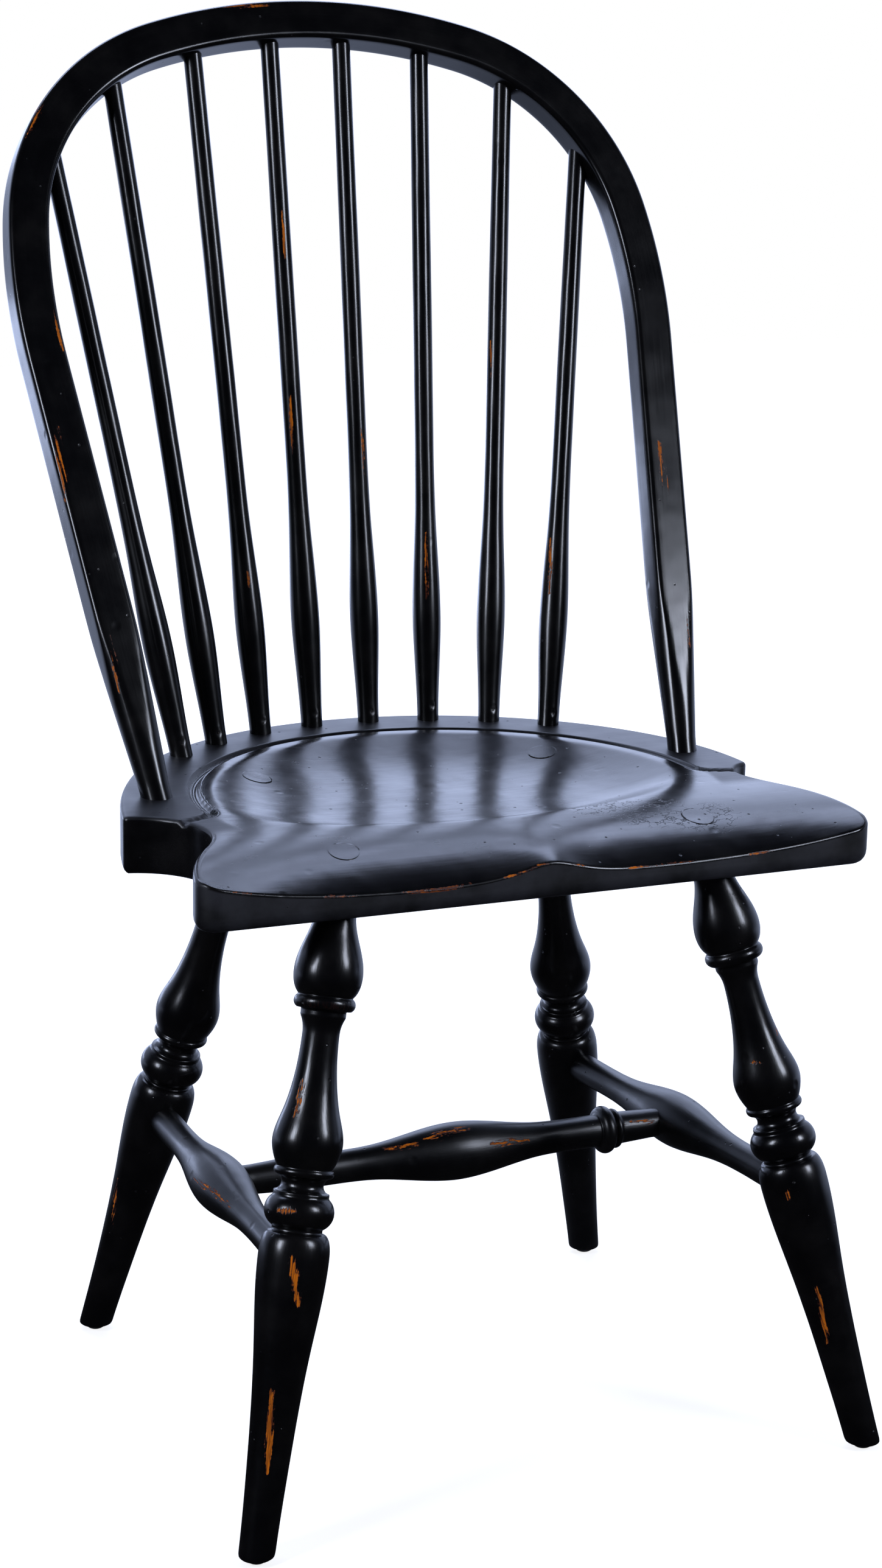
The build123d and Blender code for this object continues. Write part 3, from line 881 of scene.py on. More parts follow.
# Carved seat
@dataclass
class Seat:
    """Carved seat board.

    Attributes:
        deck_radius: Radius of the rear edge.
        front: Distance of the front edge from the deck's centre.
        left, right: Points of each half's outline, from the front corner to the deck's ear.
        deck_blend: Angle where the round rear edge gives way to the run to an ear.
        block_round: Rounding of the rear block's corner.
        rim_round: Rounding of the deck's edge.
        arris_round: Rounding of the carved edge.
        lobe_round: Rounding of the lobes' flanks.
        under_round: Rounding of the lower edge.
        lobe_under_round: Rounding of the lower edge below the carved front.
        groove_radius, groove_width, groove_depth: Gutter round the dish.
        groove_turn, groove_sweep, groove_run: Ends of the gutter.
        dish_radius, dish_front, dish_depth: Dish behind the middle.
        scoop_start, scoop_depth, scoop_lead, scoop_reach: Scoops for the thighs.
        pommel_share, pommel_width: Ridge between the scoops.
        blend: Softness of the line where dish and scoops meet.
        spacing: Distance of points round the edge.
        rim_dull, front_dull, side_dull: How dull the deck, the front edge and the other edges are.
        crackles: Middles and reaches of the places where the paint is cracked.
        streaks: Rubbed places.
        front_wear: Start, end, width and depth of the rubbed places along the front arris.
    """

    deck_radius: float = 230.0
    front: float = 151.0
    left: tuple[Point2, ...] = (
        (229.0, -150.0), (242.0, -133.5), (215.0, -80.0), (202.0, -42.0), (242.5, 4.0),
    )
    right: tuple[Point2, ...] = (
        (231.0, -150.0), (247.0, -131.0), (222.0, -65.0), (208.5, -34.0), (228.5, -2.0),
    )
    deck_blend: float = 30.0
    block_round: float = 5.0
    rim_round: float = 3.0
    arris_round: float = 1.3
    lobe_round: float = 4.5
    under_round: float = 6.0
    lobe_under_round: float = 9.0
    groove_radius: float = 183.0
    groove_width: float = 8.0
    groove_depth: float = 3.0
    groove_turn: float = 15.0
    groove_sweep: float = 70.0
    groove_run: float = 20.0
    dish_radius: float = 170.0
    dish_front: float = 76.0
    dish_depth: float = 13.5
    scoop_start: float = 52.0
    scoop_depth: float = 25.0
    scoop_lead: float = 0.1
    scoop_reach: Point2 = (265.0, 290.0)
    pommel_share: float = 0.42
    pommel_width: float = 20.0
    blend: float = 2.0
    spacing: float = 2.1
    rim_dull: float = 0.55
    front_dull: float = 0.94
    side_dull: float = 0.04
    crackles: tuple[tuple[Point3, float], ...] = (
        ((99.0, -139.0, 443.0), 46.0), ((70.0, -122.0, 444.0), 34.0), ((133.0, -156.0, 438.0), 40.0),
    )
    streaks: tuple[Streak, ...] = ()
    front_wear: tuple[tuple[float, float, float, float], ...] = ()

    def arris_streaks(self) -> list[Streak]:
        """Rubbed places along the front arris, from their spans across the front.

        Returns:
            Short streaks that follow the arris.
        """
        edge = self.edge()
        front = edge[edge[:, 1] < -0.9 * self.front]
        front = front[np.argsort(front[:, 0])]
        found = []
        for first, last, width, depth in self.front_wear:
            stops = np.linspace(first, last, max(2, int((last - first) / 5)))
            y = np.interp(stops, front[:, 0], front[:, 1])
            z = self.top(stops, y) - 0.3
            spots = np.column_stack((stops, y + DECK_Y + 0.4, z))
            found += [Streak(tuple(a), tuple(b), width, depth, False) for a, b in zip(spots, spots[1:])]
        return found

    def half(self, stops: tuple[Point2, ...]) -> np.ndarray:
        """Outline of one half, from the middle of the front to the middle of the rear.

        Args:
            stops: Points from the front corner to the deck's ear.

        Returns:
            Points, out from the middle and back from the deck's centre.
        """
        line: list[Point2] = [(0.0, -self.front)]
        heading: Point2 = (1.0, 0.0)
        for stop in stops:
            part, heading = tangent_arc(line[-1], heading, stop)
            line += part
        a = math.radians(self.deck_blend)
        turns = np.linspace(a, math.pi / 2, 500)
        ring = self.deck_radius * np.column_stack((np.cos(turns), np.sin(turns)))
        run, _ = tangent_arc(tuple(ring[0]), (math.sin(a), -math.cos(a)), stops[-1])
        line += run[::-1][1:] + [tuple(p) for p in ring]
        return self.eased(np.array(line), np.array(stops[-1]))

    def edge(self) -> np.ndarray:
        """Outline of the board.

        Returns:
            Points at even distances, counterclockwise from the middle of the front.
        """
        right = self.half(self.right)
        left = self.half(self.left)[::-1][1:-1] * (-1.0, 1.0)
        line = np.concatenate((right, left, right[:1]))
        run = np.concatenate(([0.0], np.cumsum(np.linalg.norm(np.diff(line, axis=0), axis=1))))
        count = 2 * round(run[-1] / self.spacing / 2)
        at = np.linspace(0, run[-1], count, endpoint=False)
        return np.stack((np.interp(at, run, line[:, 0]), np.interp(at, run, line[:, 1])), axis=1)

    def eased(self, line: np.ndarray, corner: np.ndarray) -> np.ndarray:
        """Outline with one sharp corner rounded.

        Args:
            line: Points of the outline.
            corner: Corner to round.

        Returns:
            Points of the rounded outline.
        """
        near = np.flatnonzero(np.linalg.norm(line - corner, axis=1) < self.block_round)
        first, last = line[near[0]], line[near[-1]]
        t = np.linspace(0, 1, 14)[:, None]
        bend = (1 - t) ** 2 * first + 2 * t * (1 - t) * corner + t**2 * last
        return np.concatenate((line[: near[0]], bend, line[near[-1] + 1 :]))

    def carving(self, x: np.ndarray, y: np.ndarray) -> np.ndarray:
        """Height of the carved surface over the deck.

        Args:
            x: Places to the right of the middle.
            y: Places behind the deck's centre.

        Returns:
            Heights, above the deck where nothing is carved.
        """
        reach = np.where(y > 0, self.dish_radius, self.dish_front)
        bowl = ((x / self.dish_radius) ** 2 + (y / reach) ** 2) ** 3
        dish = -self.dish_depth * (1 - bowl) / (1 + bowl)
        fall = (-self.scoop_start - y) / (self.front - self.scoop_start)
        span = np.where(x < 0, *self.scoop_reach)
        pommel = 1 - self.pommel_share / np.cosh(x / self.pommel_width) - (x / span) ** 4
        scoop = -self.scoop_depth * pommel * (fall**3 + self.scoop_lead * fall) / (1 + self.scoop_lead)
        return -self.blend * np.logaddexp(-dish / self.blend, -scoop / self.blend)

    def groove(self, x: np.ndarray, y: np.ndarray) -> np.ndarray:
        """Depth of the gutter.

        Args:
            x: Places to the right of the middle.
            y: Places behind the deck's centre.

        Returns:
            Depths, 0 outside the gutter.
        """
        x = np.abs(x)
        away = np.where(y >= 0, np.abs(np.hypot(x, y) - self.groove_radius), 1e6)
        centre = self.groove_radius + self.groove_turn
        dx, dy = x - centre, y
        turned = np.degrees(np.arctan2(-dy, -dx))
        on_turn = (turned >= 0) & (turned <= self.groove_sweep)
        away = np.minimum(away, np.where(on_turn, np.abs(np.hypot(dx, dy) - self.groove_turn), 1e6))
        a = math.radians(180 + self.groove_sweep)
        start = np.array((centre + self.groove_turn * math.cos(a), self.groove_turn * math.sin(a)))
        ahead = np.array((-math.sin(a), math.cos(a)))
        share = np.clip((x - start[0]) * ahead[0] + (y - start[1]) * ahead[1], 0, self.groove_run)
        away = np.minimum(away, np.hypot(x - start[0] - share * ahead[0], y - start[1] - share * ahead[1]))
        bit = (self.groove_width**2 / 4 + self.groove_depth**2) / (2 * self.groove_depth)
        inside = np.maximum(bit**2 - np.minimum(away, bit) ** 2, 0)
        return np.maximum(np.sqrt(inside) - (bit - self.groove_depth), 0)

    def top(self, x: np.ndarray, y: np.ndarray) -> np.ndarray:
        """Height of the seat's top over the floor, without the rounding of its edge.

        Args:
            x: Places to the right of the middle.
            y: Places behind the deck's centre.

        Returns:
            Heights in millimetres.
        """
        soft = 0.25
        carved = -soft * np.logaddexp(0.0, -self.carving(x, y) / soft)
        return SEAT_HEIGHT + carved - self.groove(x, y)

    def build(self, paint: bpy.types.Material) -> bpy.types.Mesh:
        """Mesh of the board.

        Args:
            paint: Material.

        Returns:
            The mesh, in place, with its wear marked.
        """
        edge = self.edge()
        ahead = np.roll(edge, -1, axis=0) - np.roll(edge, 1, axis=0)
        inward = np.stack((-ahead[:, 1], ahead[:, 0]), axis=1)
        inward /= np.linalg.norm(inward, axis=1)[:, None]
        carved = smooth_step(-2.0, -7.0, self.carving(edge[:, 0], edge[:, 1]))
        rounding = self.rim_round + (self.arris_round - self.rim_round) * carved
        flank = smooth_step(0.9, 0.98, np.abs(edge[:, 0]) / self.right[0][0])
        flank = flank * smooth_step(-50.0, -80.0, edge[:, 1]) * smooth_step(-149.0, -138.0, edge[:, 1])
        rounding = rounding + (self.lobe_round - rounding) * flank
        rings, crest = [], []

        def ring(flat: np.ndarray, heights: np.ndarray, worn: float) -> None:
            """Add a ring of points.

            Args:
                flat: Places in plan.
                heights: Heights of the points.
                worn: How readily the ring wears.
            """
            rings.append(np.column_stack((flat[:, 0], flat[:, 1] + DECK_Y, heights)))
            crest.append(np.full(len(flat), worn))

        under = self.under_round + (self.lobe_under_round - self.under_round) * carved
        under_inset = (0.8 * under)[:, None]
        inner = edge + inward * under_inset
        for share in (0.0, 0.25, 0.5, 0.75, 0.9):
            ring(inner * share, np.full(len(edge), SEAT_UNDER), 0.0)
        for turn in np.linspace(0, math.pi / 2, 6):
            level = SEAT_UNDER + under * (1 - math.cos(turn))
            ring(edge + inward * under_inset * (1 - math.sin(turn)), level, 0.35 * math.sin(2 * turn))
        lip = self.top(edge[:, 0], edge[:, 1]) - rounding
        base = SEAT_UNDER + under
        for share in (0.2, 0.4, 0.6, 0.8, 0.93):
            ring(edge, base + (lip - base) * share, 0.0)
        for turn in np.linspace(0, math.pi / 2, 7):
            inset = rounding * (1 - math.cos(turn))
            flat = edge + inward * inset[:, None]
            heights = self.top(flat[:, 0], flat[:, 1]) - rounding * (1 - math.sin(turn))
            ring(flat, heights, 0.5 + 0.5 * math.sin(2 * turn))
        start = edge + inward * rounding[:, None]
        reach = self.deck_radius - self.rim_round
        stops = np.concatenate((
            np.arange(reach - 1.5, 212, -2.0), np.arange(212, 176, -0.9),
            np.arange(176, 160, -1.6), np.arange(160, 20, -3.6), (20.0, 10.0, 4.0, 0.0),
        ))
        for stop in stops:
            flat = start * (stop / reach)
            ring(flat, self.top(flat[:, 0], flat[:, 1]), 0.6 * math.exp(-(reach - stop) / 3.0))
        spots, faces = skin(rings)
        mesh = new_mesh("seat_board", spots, faces, paint)
        store(mesh, "grain_at", np.column_stack((spots[:, 1], spots[:, 2], spots[:, 0])) * MM)
        store(mesh, "crest", np.concatenate(crest))
        self.age(mesh, spots)
        rub_in(mesh, (*self.streaks, *self.arris_streaks()))
        close(mesh)
        return mesh

    def age(self, mesh: bpy.types.Mesh, spots: np.ndarray) -> None:
        """Mark where the paint is dull and where it is cracked.

        Args:
            mesh: Mesh of the board.
            spots: Its points in millimetres.
        """
        x, y = spots[:, 0], spots[:, 1] - DECK_Y
        below = spots[:, 2] < self.top(x, y) - 1.5
        rim = smooth_step(184.0, 190.0, np.hypot(x, y)) * smooth_step(-60.0, -42.0, y)
        face = self.side_dull + (self.front_dull - self.side_dull) * smooth_step(-136.0, -149.0, y)
        store(mesh, "dull", np.where(below, face, self.rim_dull * rim))
        crackled = np.zeros(len(spots))
        for centre, size in self.crackles:
            away = np.linalg.norm((spots - centre) * (1, 1.3, 1), axis=1)
            crackled = np.maximum(crackled, 1 - away / size)
        store(mesh, "crackle", np.clip(crackled * 1.6, 0, 1))


def close(mesh: bpy.types.Mesh) -> None:
    """Merge the points of a mesh that meet, and turn its faces outwards.

    Args:
        mesh: Mesh to close.
    """
    work = bmesh.new()
    work.from_mesh(mesh)
    bmesh.ops.remove_doubles(work, verts=work.verts, dist=0.01 * MM)
    bmesh.ops.dissolve_degenerate(work, edges=work.edges, dist=0.001 * MM)
    bmesh.ops.recalc_face_normals(work, faces=work.faces)
    work.to_mesh(mesh)
    work.free()
    mesh.shade_smooth()


# Bent bow
@dataclass
class Bow:
    """Bent bow with both limbs socketed in the seat.

    Attributes:
        foot: Place of a limb's foot at the deck.
        lean: Angle of the bow's plane from upright.
        splay: Angle of a limb outwards.
        limb: Height of the straight part, in the bow's plane.
        hip_radius, hip_sweep: First bend of a limb.
        shoulder_radius, shoulder_sweep: Second bend of a limb.
        width, depth, arris: Section of the bow.
        foot_radius, foot_length, taper, soft: Rounded foot of a limb, and how softly it leaves the bar.
        tail: Length below the deck.
        spacing: Distance of sections.
        streaks: Rubbed places.
    """

    foot: Point2 = (203.0, 50.4)
    lean: float = 25.8
    splay: float = 6.15
    limb: float = 313.5
    hip_radius: float = 403.0
    hip_sweep: float = 14.8
    shoulder_radius: float = 163.0
    shoulder_sweep: float = 64.3
    width: float = 29.0
    depth: float = 24.0
    arris: float = 4.0
    foot_radius: float = 10.6
    foot_length: float = 8.0
    taper: float = 118.0
    soft: float = 0.35
    tail: float = 46.0
    spacing: float = 3.0
    streaks: tuple[Streak, ...] = ()

    def frame(self) -> tuple[np.ndarray, np.ndarray, np.ndarray, np.ndarray]:
        """Plane of the bow.

        Returns:
            Origin of the plane, and its directions right, up and forward.
        """
        lean = math.radians(self.lean)
        up = np.array((0.0, math.sin(lean), math.cos(lean)))
        forward = np.array((0.0, -math.cos(lean), math.sin(lean)))
        return plan(0, self.foot[1], SEAT_HEIGHT), np.array((1.0, 0, 0)), up, forward

    def line(self) -> tuple[np.ndarray, np.ndarray, np.ndarray]:
        """Centre line from the right foot over the crown to the left foot.

        Returns:
            Points in the bow's plane, directions, and distances from the deck along the nearer limb.
        """
        heading = math.radians(90 - self.splay)
        length = self.limb / math.cos(math.radians(self.splay))
        sweeps = [math.radians(self.hip_sweep), math.radians(self.shoulder_sweep)]
        bends = [(self.hip_radius, sweeps[0]), (self.shoulder_radius, sweeps[1])]
        spot = np.array((self.foot[0], 0.0)) - self.tail * np.array((math.cos(heading), math.sin(heading)))
        spots, ways, runs = [spot], [heading], [-self.tail]

        def walk(distance: float, bend: float) -> None:
            """Follow the line over a distance.

            Args:
                distance: Length of the way.
                bend: Turn for a unit of length.
            """
            count = max(2, round(distance / self.spacing))
            for _ in range(count):
                ways.append(ways[-1] + bend * distance / count)
                middle = (ways[-1] + ways[-2]) / 2
                pace = distance / count * np.array((math.cos(middle), math.sin(middle)))
                spots.append(spots[-1] + pace)
                runs.append(runs[-1] + distance / count)

        walk(self.tail + length, 0.0)
        for radius, sweep in bends:
            walk(radius * sweep, 1 / radius)
        rest = math.pi - ways[-1]
        crown = spots[-1][0] / math.sin(rest)
        walk(crown * rest, 1 / crown)
        right = np.array(spots)
        right[-1, 0] = 0.0
        left = right[::-1][1:] * (-1.0, 1.0)
        angles = np.array(ways)
        angles = np.concatenate((angles, (2 * math.pi - angles)[::-1][1:]))
        runs = np.array(runs)
        return np.concatenate((right, left)), angles, np.concatenate((runs, runs[::-1][1:]))

    def build(self, paint: bpy.types.Material) -> bpy.types.Mesh:
        """Mesh of the bow.

        Args:
            paint: Material.

        Returns:
            The mesh, in place, with its wear marked.
        """
        origin, right, up, forward = self.frame()
        spots, angles, runs = self.line()
        shape, arris = rounded_bar(self.width, self.depth, self.arris)
        reach = np.linalg.norm(shape, axis=1)
        way = np.arange(len(spots)) * self.spacing
        rings, fibre, crest = [], [], []
        for spot, angle, run, along in zip(spots, angles, runs, way):
            outward = right * math.sin(angle) - up * math.cos(angle)
            share = (run - self.foot_length) / (self.taper - self.foot_length)
            limit = self.foot_radius + max(share, 0.0) * (reach.max() - self.foot_radius)
            shaved = -self.soft * np.logaddexp(-reach / self.soft, -limit / self.soft)
            cut = shape * (shaved / reach)[:, None]
            centre = origin + right * spot[0] + up * spot[1]
            rings.append(centre + cut[:, :1] * outward + cut[:, 1:] * forward)
            fibre.append(np.column_stack((cut, np.full(len(cut), along))))
            crest.append(arris * smooth_step(self.foot_length, self.taper, np.array(run)))
        points, faces = skin(rings)
        last = len(points) - len(shape)
        faces.append(tuple(range(len(shape)))[::-1])
        faces.append(tuple(range(last, last + len(shape))))
        points[:, 2] = np.maximum(points[:, 2], SEAT_UNDER - 0.3)
        mesh = new_mesh("bow_bar", points, faces, paint)
        store(mesh, "grain_at", np.concatenate(fibre) * MM)
        store(mesh, "crest", np.concatenate(crest))
        rub_in(mesh, self.streaks)
        close(mesh)
        return mesh


def rounded_bar(width: float, depth: float, arris: float) -> tuple[np.ndarray, np.ndarray]:
    """Section of a bar with rounded arrises.

    Args:
        width: Size outwards.
        depth: Size forwards.
        arris: Radius of the arrises.

    Returns:
        Points outwards and forwards, and how far each is on an arris.
    """
    corners = ((1, 1), (-1, 1), (-1, -1), (1, -1))
    points: list[np.ndarray] = []
    crest: list[float] = []
    for k, (sx, sy) in enumerate(corners):
        centre = np.array((sx * (width / 2 - arris), sy * (depth / 2 - arris)))
        for t in np.linspace(0, math.pi / 2, 9):
            a = k * math.pi / 2 + t
            points.append(centre + arris * np.array((math.cos(a), math.sin(a))))
            crest.append(math.sin(2 * t))
        nx, ny = corners[(k + 1) % 4]
        a = (k + 1) * math.pi / 2
        after = np.array((nx * (width / 2 - arris), ny * (depth / 2 - arris)))
        after = after + arris * np.array((math.cos(a), math.sin(a)))
        before = points[-1]
        for share in np.linspace(0, 1, 8)[1:-1]:
            points.append(before + (after - before) * share)
            crest.append(0.0)
    return np.array(points), np.array(crest)


# Turned members
@dataclass
class LegPattern:
    """Turned pattern that all four legs share, each point a radius and a distance up the axis.

    Attributes:
        lift: Height of the foot's end over the floor.
        foot_radius, foot_round: Foot and the rounding of its edge.
        taper, ankle: Points of the tapered lower part, and the narrow place over it.
        torus, torus_half: Bulging ring and half its height.
        list_radius, list_height: Plain band over it.
        reel, ring, ring_half: Hollow over the band, thin ring and half its height.
        vase, cove: Points of the vase, and the top of the hollow over it.
        collar, collar_root, collar_half: Collar, the radius at its root and half its height.
        bulb: Points of the bulb under the seat.
        tenon_base, tenon_top, tenon_lead: Radii of the tenon, and its start below the seat.
    """

    lift: float = 4.0
    foot_radius: float = 11.7
    foot_round: float = 1.2
    taper: tuple[Point2, ...] = ((13.7, 62.0), (18.5, 136.0), (23.2, 197.0))
    ankle: Point2 = (16.6, 213.5)
    torus: Point2 = (22.9, 226.0)
    torus_half: float = 10.0
    list_radius: float = 18.3
    list_height: float = 3.0
    reel: Point2 = (13.8, 244.5)
    ring: Point2 = (19.7, 252.0)
    ring_half: float = 2.6
    vase: tuple[Point2, ...] = ((23.1, 271.0), (18.9, 290.0), (14.7, 309.0), (12.2, 342.0))
    cove: Point2 = (14.9, 353.0)
    collar: Point2 = (20.3, 361.8)
    collar_root: float = 17.8
    collar_half: float = 4.4
    bulb: tuple[Point2, ...] = ((22.6, 382.5), (17.5, 403.0))
    tenon_base: float = 13.6
    tenon_top: float = 10.0
    tenon_lead: float = 6.0

    def outline(self, slope: float) -> list[Point2]:
        """Outline of a leg from the centre of its foot to its tenon's end.

        Args:
            slope: Distance up the axis for a unit of height.

        Returns:
            Radius and height of points.
        """
        foot = self.lift * slope
        line: list[Point2] = [(0.0, foot), (0.5 * self.foot_radius, foot)]
        for t in np.linspace(0, math.pi / 2, 7):
            inset = self.foot_round * (1 - math.sin(t))
            line.append((self.foot_radius - inset, foot + self.foot_round * (1 - math.cos(t))))
        taper = spline([(self.foot_radius, -self.foot_radius), *self.taper], (0, 1), (0, 1))
        line += [p for p in taper if p[1] > foot + self.foot_round + 1]
        line += spline([self.taper[-1], self.ankle], (0, 1), (-1, 0))
        top = self.torus[1] + self.torus_half
        root = (self.ankle[0], self.torus[1] - self.torus_half)
        line += arc(root, self.torus, (self.list_radius, top), 30)
        shelf = (self.list_radius, top + self.list_height)
        line += arc(shelf, self.reel, (self.list_radius, self.ring[1] - self.ring_half))
        ring_top = (self.list_radius, self.ring[1] + self.ring_half)
        line += arc((self.list_radius, self.ring[1] - self.ring_half), self.ring, ring_top)
        line += spline([ring_top, *self.vase], (1, 2), (0, 1))
        cove, _ = tangent_arc(self.vase[-1], (0, 1), self.cove)
        low, high = self.collar[1] - self.collar_half, self.collar[1] + self.collar_half
        line += cove + [(self.cove[0], low), (self.collar_root, low)]
        line += arc((self.collar_root, low), self.collar, (self.collar_root, high), 22)
        start, past = SEAT_UNDER * slope - self.tenon_lead, SEAT_HEIGHT * slope
        lean = (self.tenon_top - self.tenon_base, past - start)
        line += spline([(self.collar_root, high), *self.bulb, (self.tenon_base, start)], (1, 1), lean)
        return line + [(self.tenon_top, past), (0.5 * self.tenon_top, past), (0.0, past)]


@dataclass
class LegSet:
    """Legs and stretchers, and the places of the feet on the floor.

    Attributes:
        pattern: Turned pattern of the legs.
        feet: Feet of the right legs on the floor.
        tops: Where the right legs reach the deck's height.
        side_heights: Heights of the side stretchers on the legs.
        side_bulge, side_end, side_plain, side_past: Outline of half a side stretcher.
        cross_bulge, cross_rings, cross_end, cross_plain, cross_past: Outline of half the cross stretcher.
        leg_net, rail_net: Faces round a leg or a stretcher, and rings along it.
        proud: How far the tenons stand over the carved seat.
        streaks: Rubbed places by the name of the piece.
    """

    pattern: LegPattern = field(default_factory=LegPattern)
    feet: dict[LegEnd, Point2] = field(
        default_factory=lambda: {LegEnd.FRONT: (227.0, -206.0), LegEnd.REAR: (206.0, 190.0)}
    )
    tops: dict[LegEnd, Point2] = field(
        default_factory=lambda: {LegEnd.FRONT: (129.0, -107.0), LegEnd.REAR: (111.0, 96.0)}
    )
    side_heights: dict[LegEnd, float] = field(
        default_factory=lambda: {LegEnd.FRONT: 183.5, LegEnd.REAR: 177.5}
    )
    side_bulge: tuple[Point2, ...] = ((19.4, 0.0), (12.3, 60.0))
    side_end: float = 10.9
    side_plain: float = 26.0
    side_past: float = 7.0
    cross_bulge: tuple[Point2, ...] = ((20.6, 0.0), (12.8, 60.0), (11.7, 112.6))
    cross_rings: tuple[Point2, ...] = ((17.3, 5.4), (14.4, 2.8))
    cross_end: float = 10.4
    cross_plain: float = 22.0
    cross_past: float = 5.0
    leg_net: tuple[int, int] = (72, 560)
    rail_net: tuple[int, int] = (60, 330)
    proud: float = 0.35
    streaks: dict[str, tuple[Streak, ...]] = field(default_factory=dict)

    def on_leg(self, end: LegEnd, side: Side, height: float) -> np.ndarray:
        """Point of a leg's axis at a height over the floor.

        Args:
            end: End of the chair.
            side: Side of the chair.
            height: Height in millimetres.

        Returns:
            The point.
        """
        foot, top = self.feet[end], self.tops[end]
        low = plan(side.value * foot[0], foot[1])
        high = plan(side.value * top[0], top[1], SEAT_HEIGHT)
        return low + (high - low) * (height / SEAT_HEIGHT)

    def legs(self, seat: Seat, lathe: LatheTree, paint: bpy.types.Material) -> None:
        """Build the four legs, with their tenons dressed to the seat.

        Args:
            seat: Seat that the tenons end at.
            lathe: Tree that turns outlines.
            paint: Material.
        """
        for number, (end, side) in enumerate((e, s) for e in LegEnd for s in Side):
            name = f"leg_{end.value}_{side.name.lower()}"
            low, high = self.on_leg(end, side, 0), self.on_leg(end, side, SEAT_HEIGHT)
            slope = float(np.linalg.norm(high - low)) / SEAT_HEIGHT
            outline = self.pattern.outline(slope)
            leg = Turning(name + "_turned", low, high, outline, *self.leg_net, seed=1.7 * number)
            leg.level_foot = True
            leg.streaks = self.streaks.get(name, ())
            mesh = leg.build(lathe, paint)
            spots = spots_of(mesh)
            limit = seat.top(spots[:, 0], spots[:, 1] - DECK_Y) + self.proud
            spots[:, 2] = np.minimum(spots[:, 2], limit)
            move_to(mesh, spots)
            settle(leg.name, mesh, (name,))

    def stretchers(self, lathe: LatheTree, paint: bpy.types.Material) -> None:
        """Build the two side stretchers and the cross stretcher.

        Args:
            lathe: Tree that turns outlines.
            paint: Material.
        """
        for number, side in enumerate(Side):
            rear, front = (self.on_leg(e, side, self.side_heights[e]) for e in (LegEnd.REAR, LegEnd.FRONT))
            half = float(np.linalg.norm(front - rear)) / 2
            plain = (self.side_end, half - self.side_plain)
            line = spline([*self.side_bulge, plain], (0, 1), (0, 1))
            line += [(r, half + self.side_past) for r in (self.side_end, 0)]
            name = f"side_stretcher_{side.name.lower()}"
            self.spin(name, (rear + front) / 2, front, line, 9.3 + number, lathe, paint)
        right = [self.on_leg(e, Side.RIGHT, self.side_heights[e]) for e in LegEnd]
        end = (right[0] + right[1]) / 2
        line = spline(list(self.cross_bulge), (0, 1), (0, 1))
        root, at = self.cross_bulge[-1]
        for radius, half in self.cross_rings:
            line += arc((root, at), (radius, at + half), (root, at + 2 * half))
            at += 2 * half
        line += [(self.cross_end, end[0] - self.cross_plain)]
        line += [(r, end[0] + self.cross_past) for r in (self.cross_end, 0)]
        self.spin("cross_stretcher", end * (0, 1, 1), end, line, 12.1, lathe, paint)

    def spin(
        self, name: str, middle: np.ndarray, toward: np.ndarray, half: list[Point2], seed: float,
        lathe: LatheTree, paint: bpy.types.Material,
    ) -> None:
        """Build a stretcher whose two halves are alike.

        Args:
            name: Node that it stands for.
            middle: Middle of its axis.
            toward: Point along its axis.
            half: Outline of one half, from the middle out.
            seed: Shift of its grain.
            lathe: Tree that turns outlines.
            paint: Material.
        """
        outline = [(r, -h) for r, h in half[::-1]] + half[1:]
        member = Turning(name + "_turned", middle, toward, outline, *self.rail_net, seed=seed)
        member.wobble = 0.6
        member.streaks = self.streaks.get(name, ())
        settle(member.name, member.build(lathe, paint), (name,))


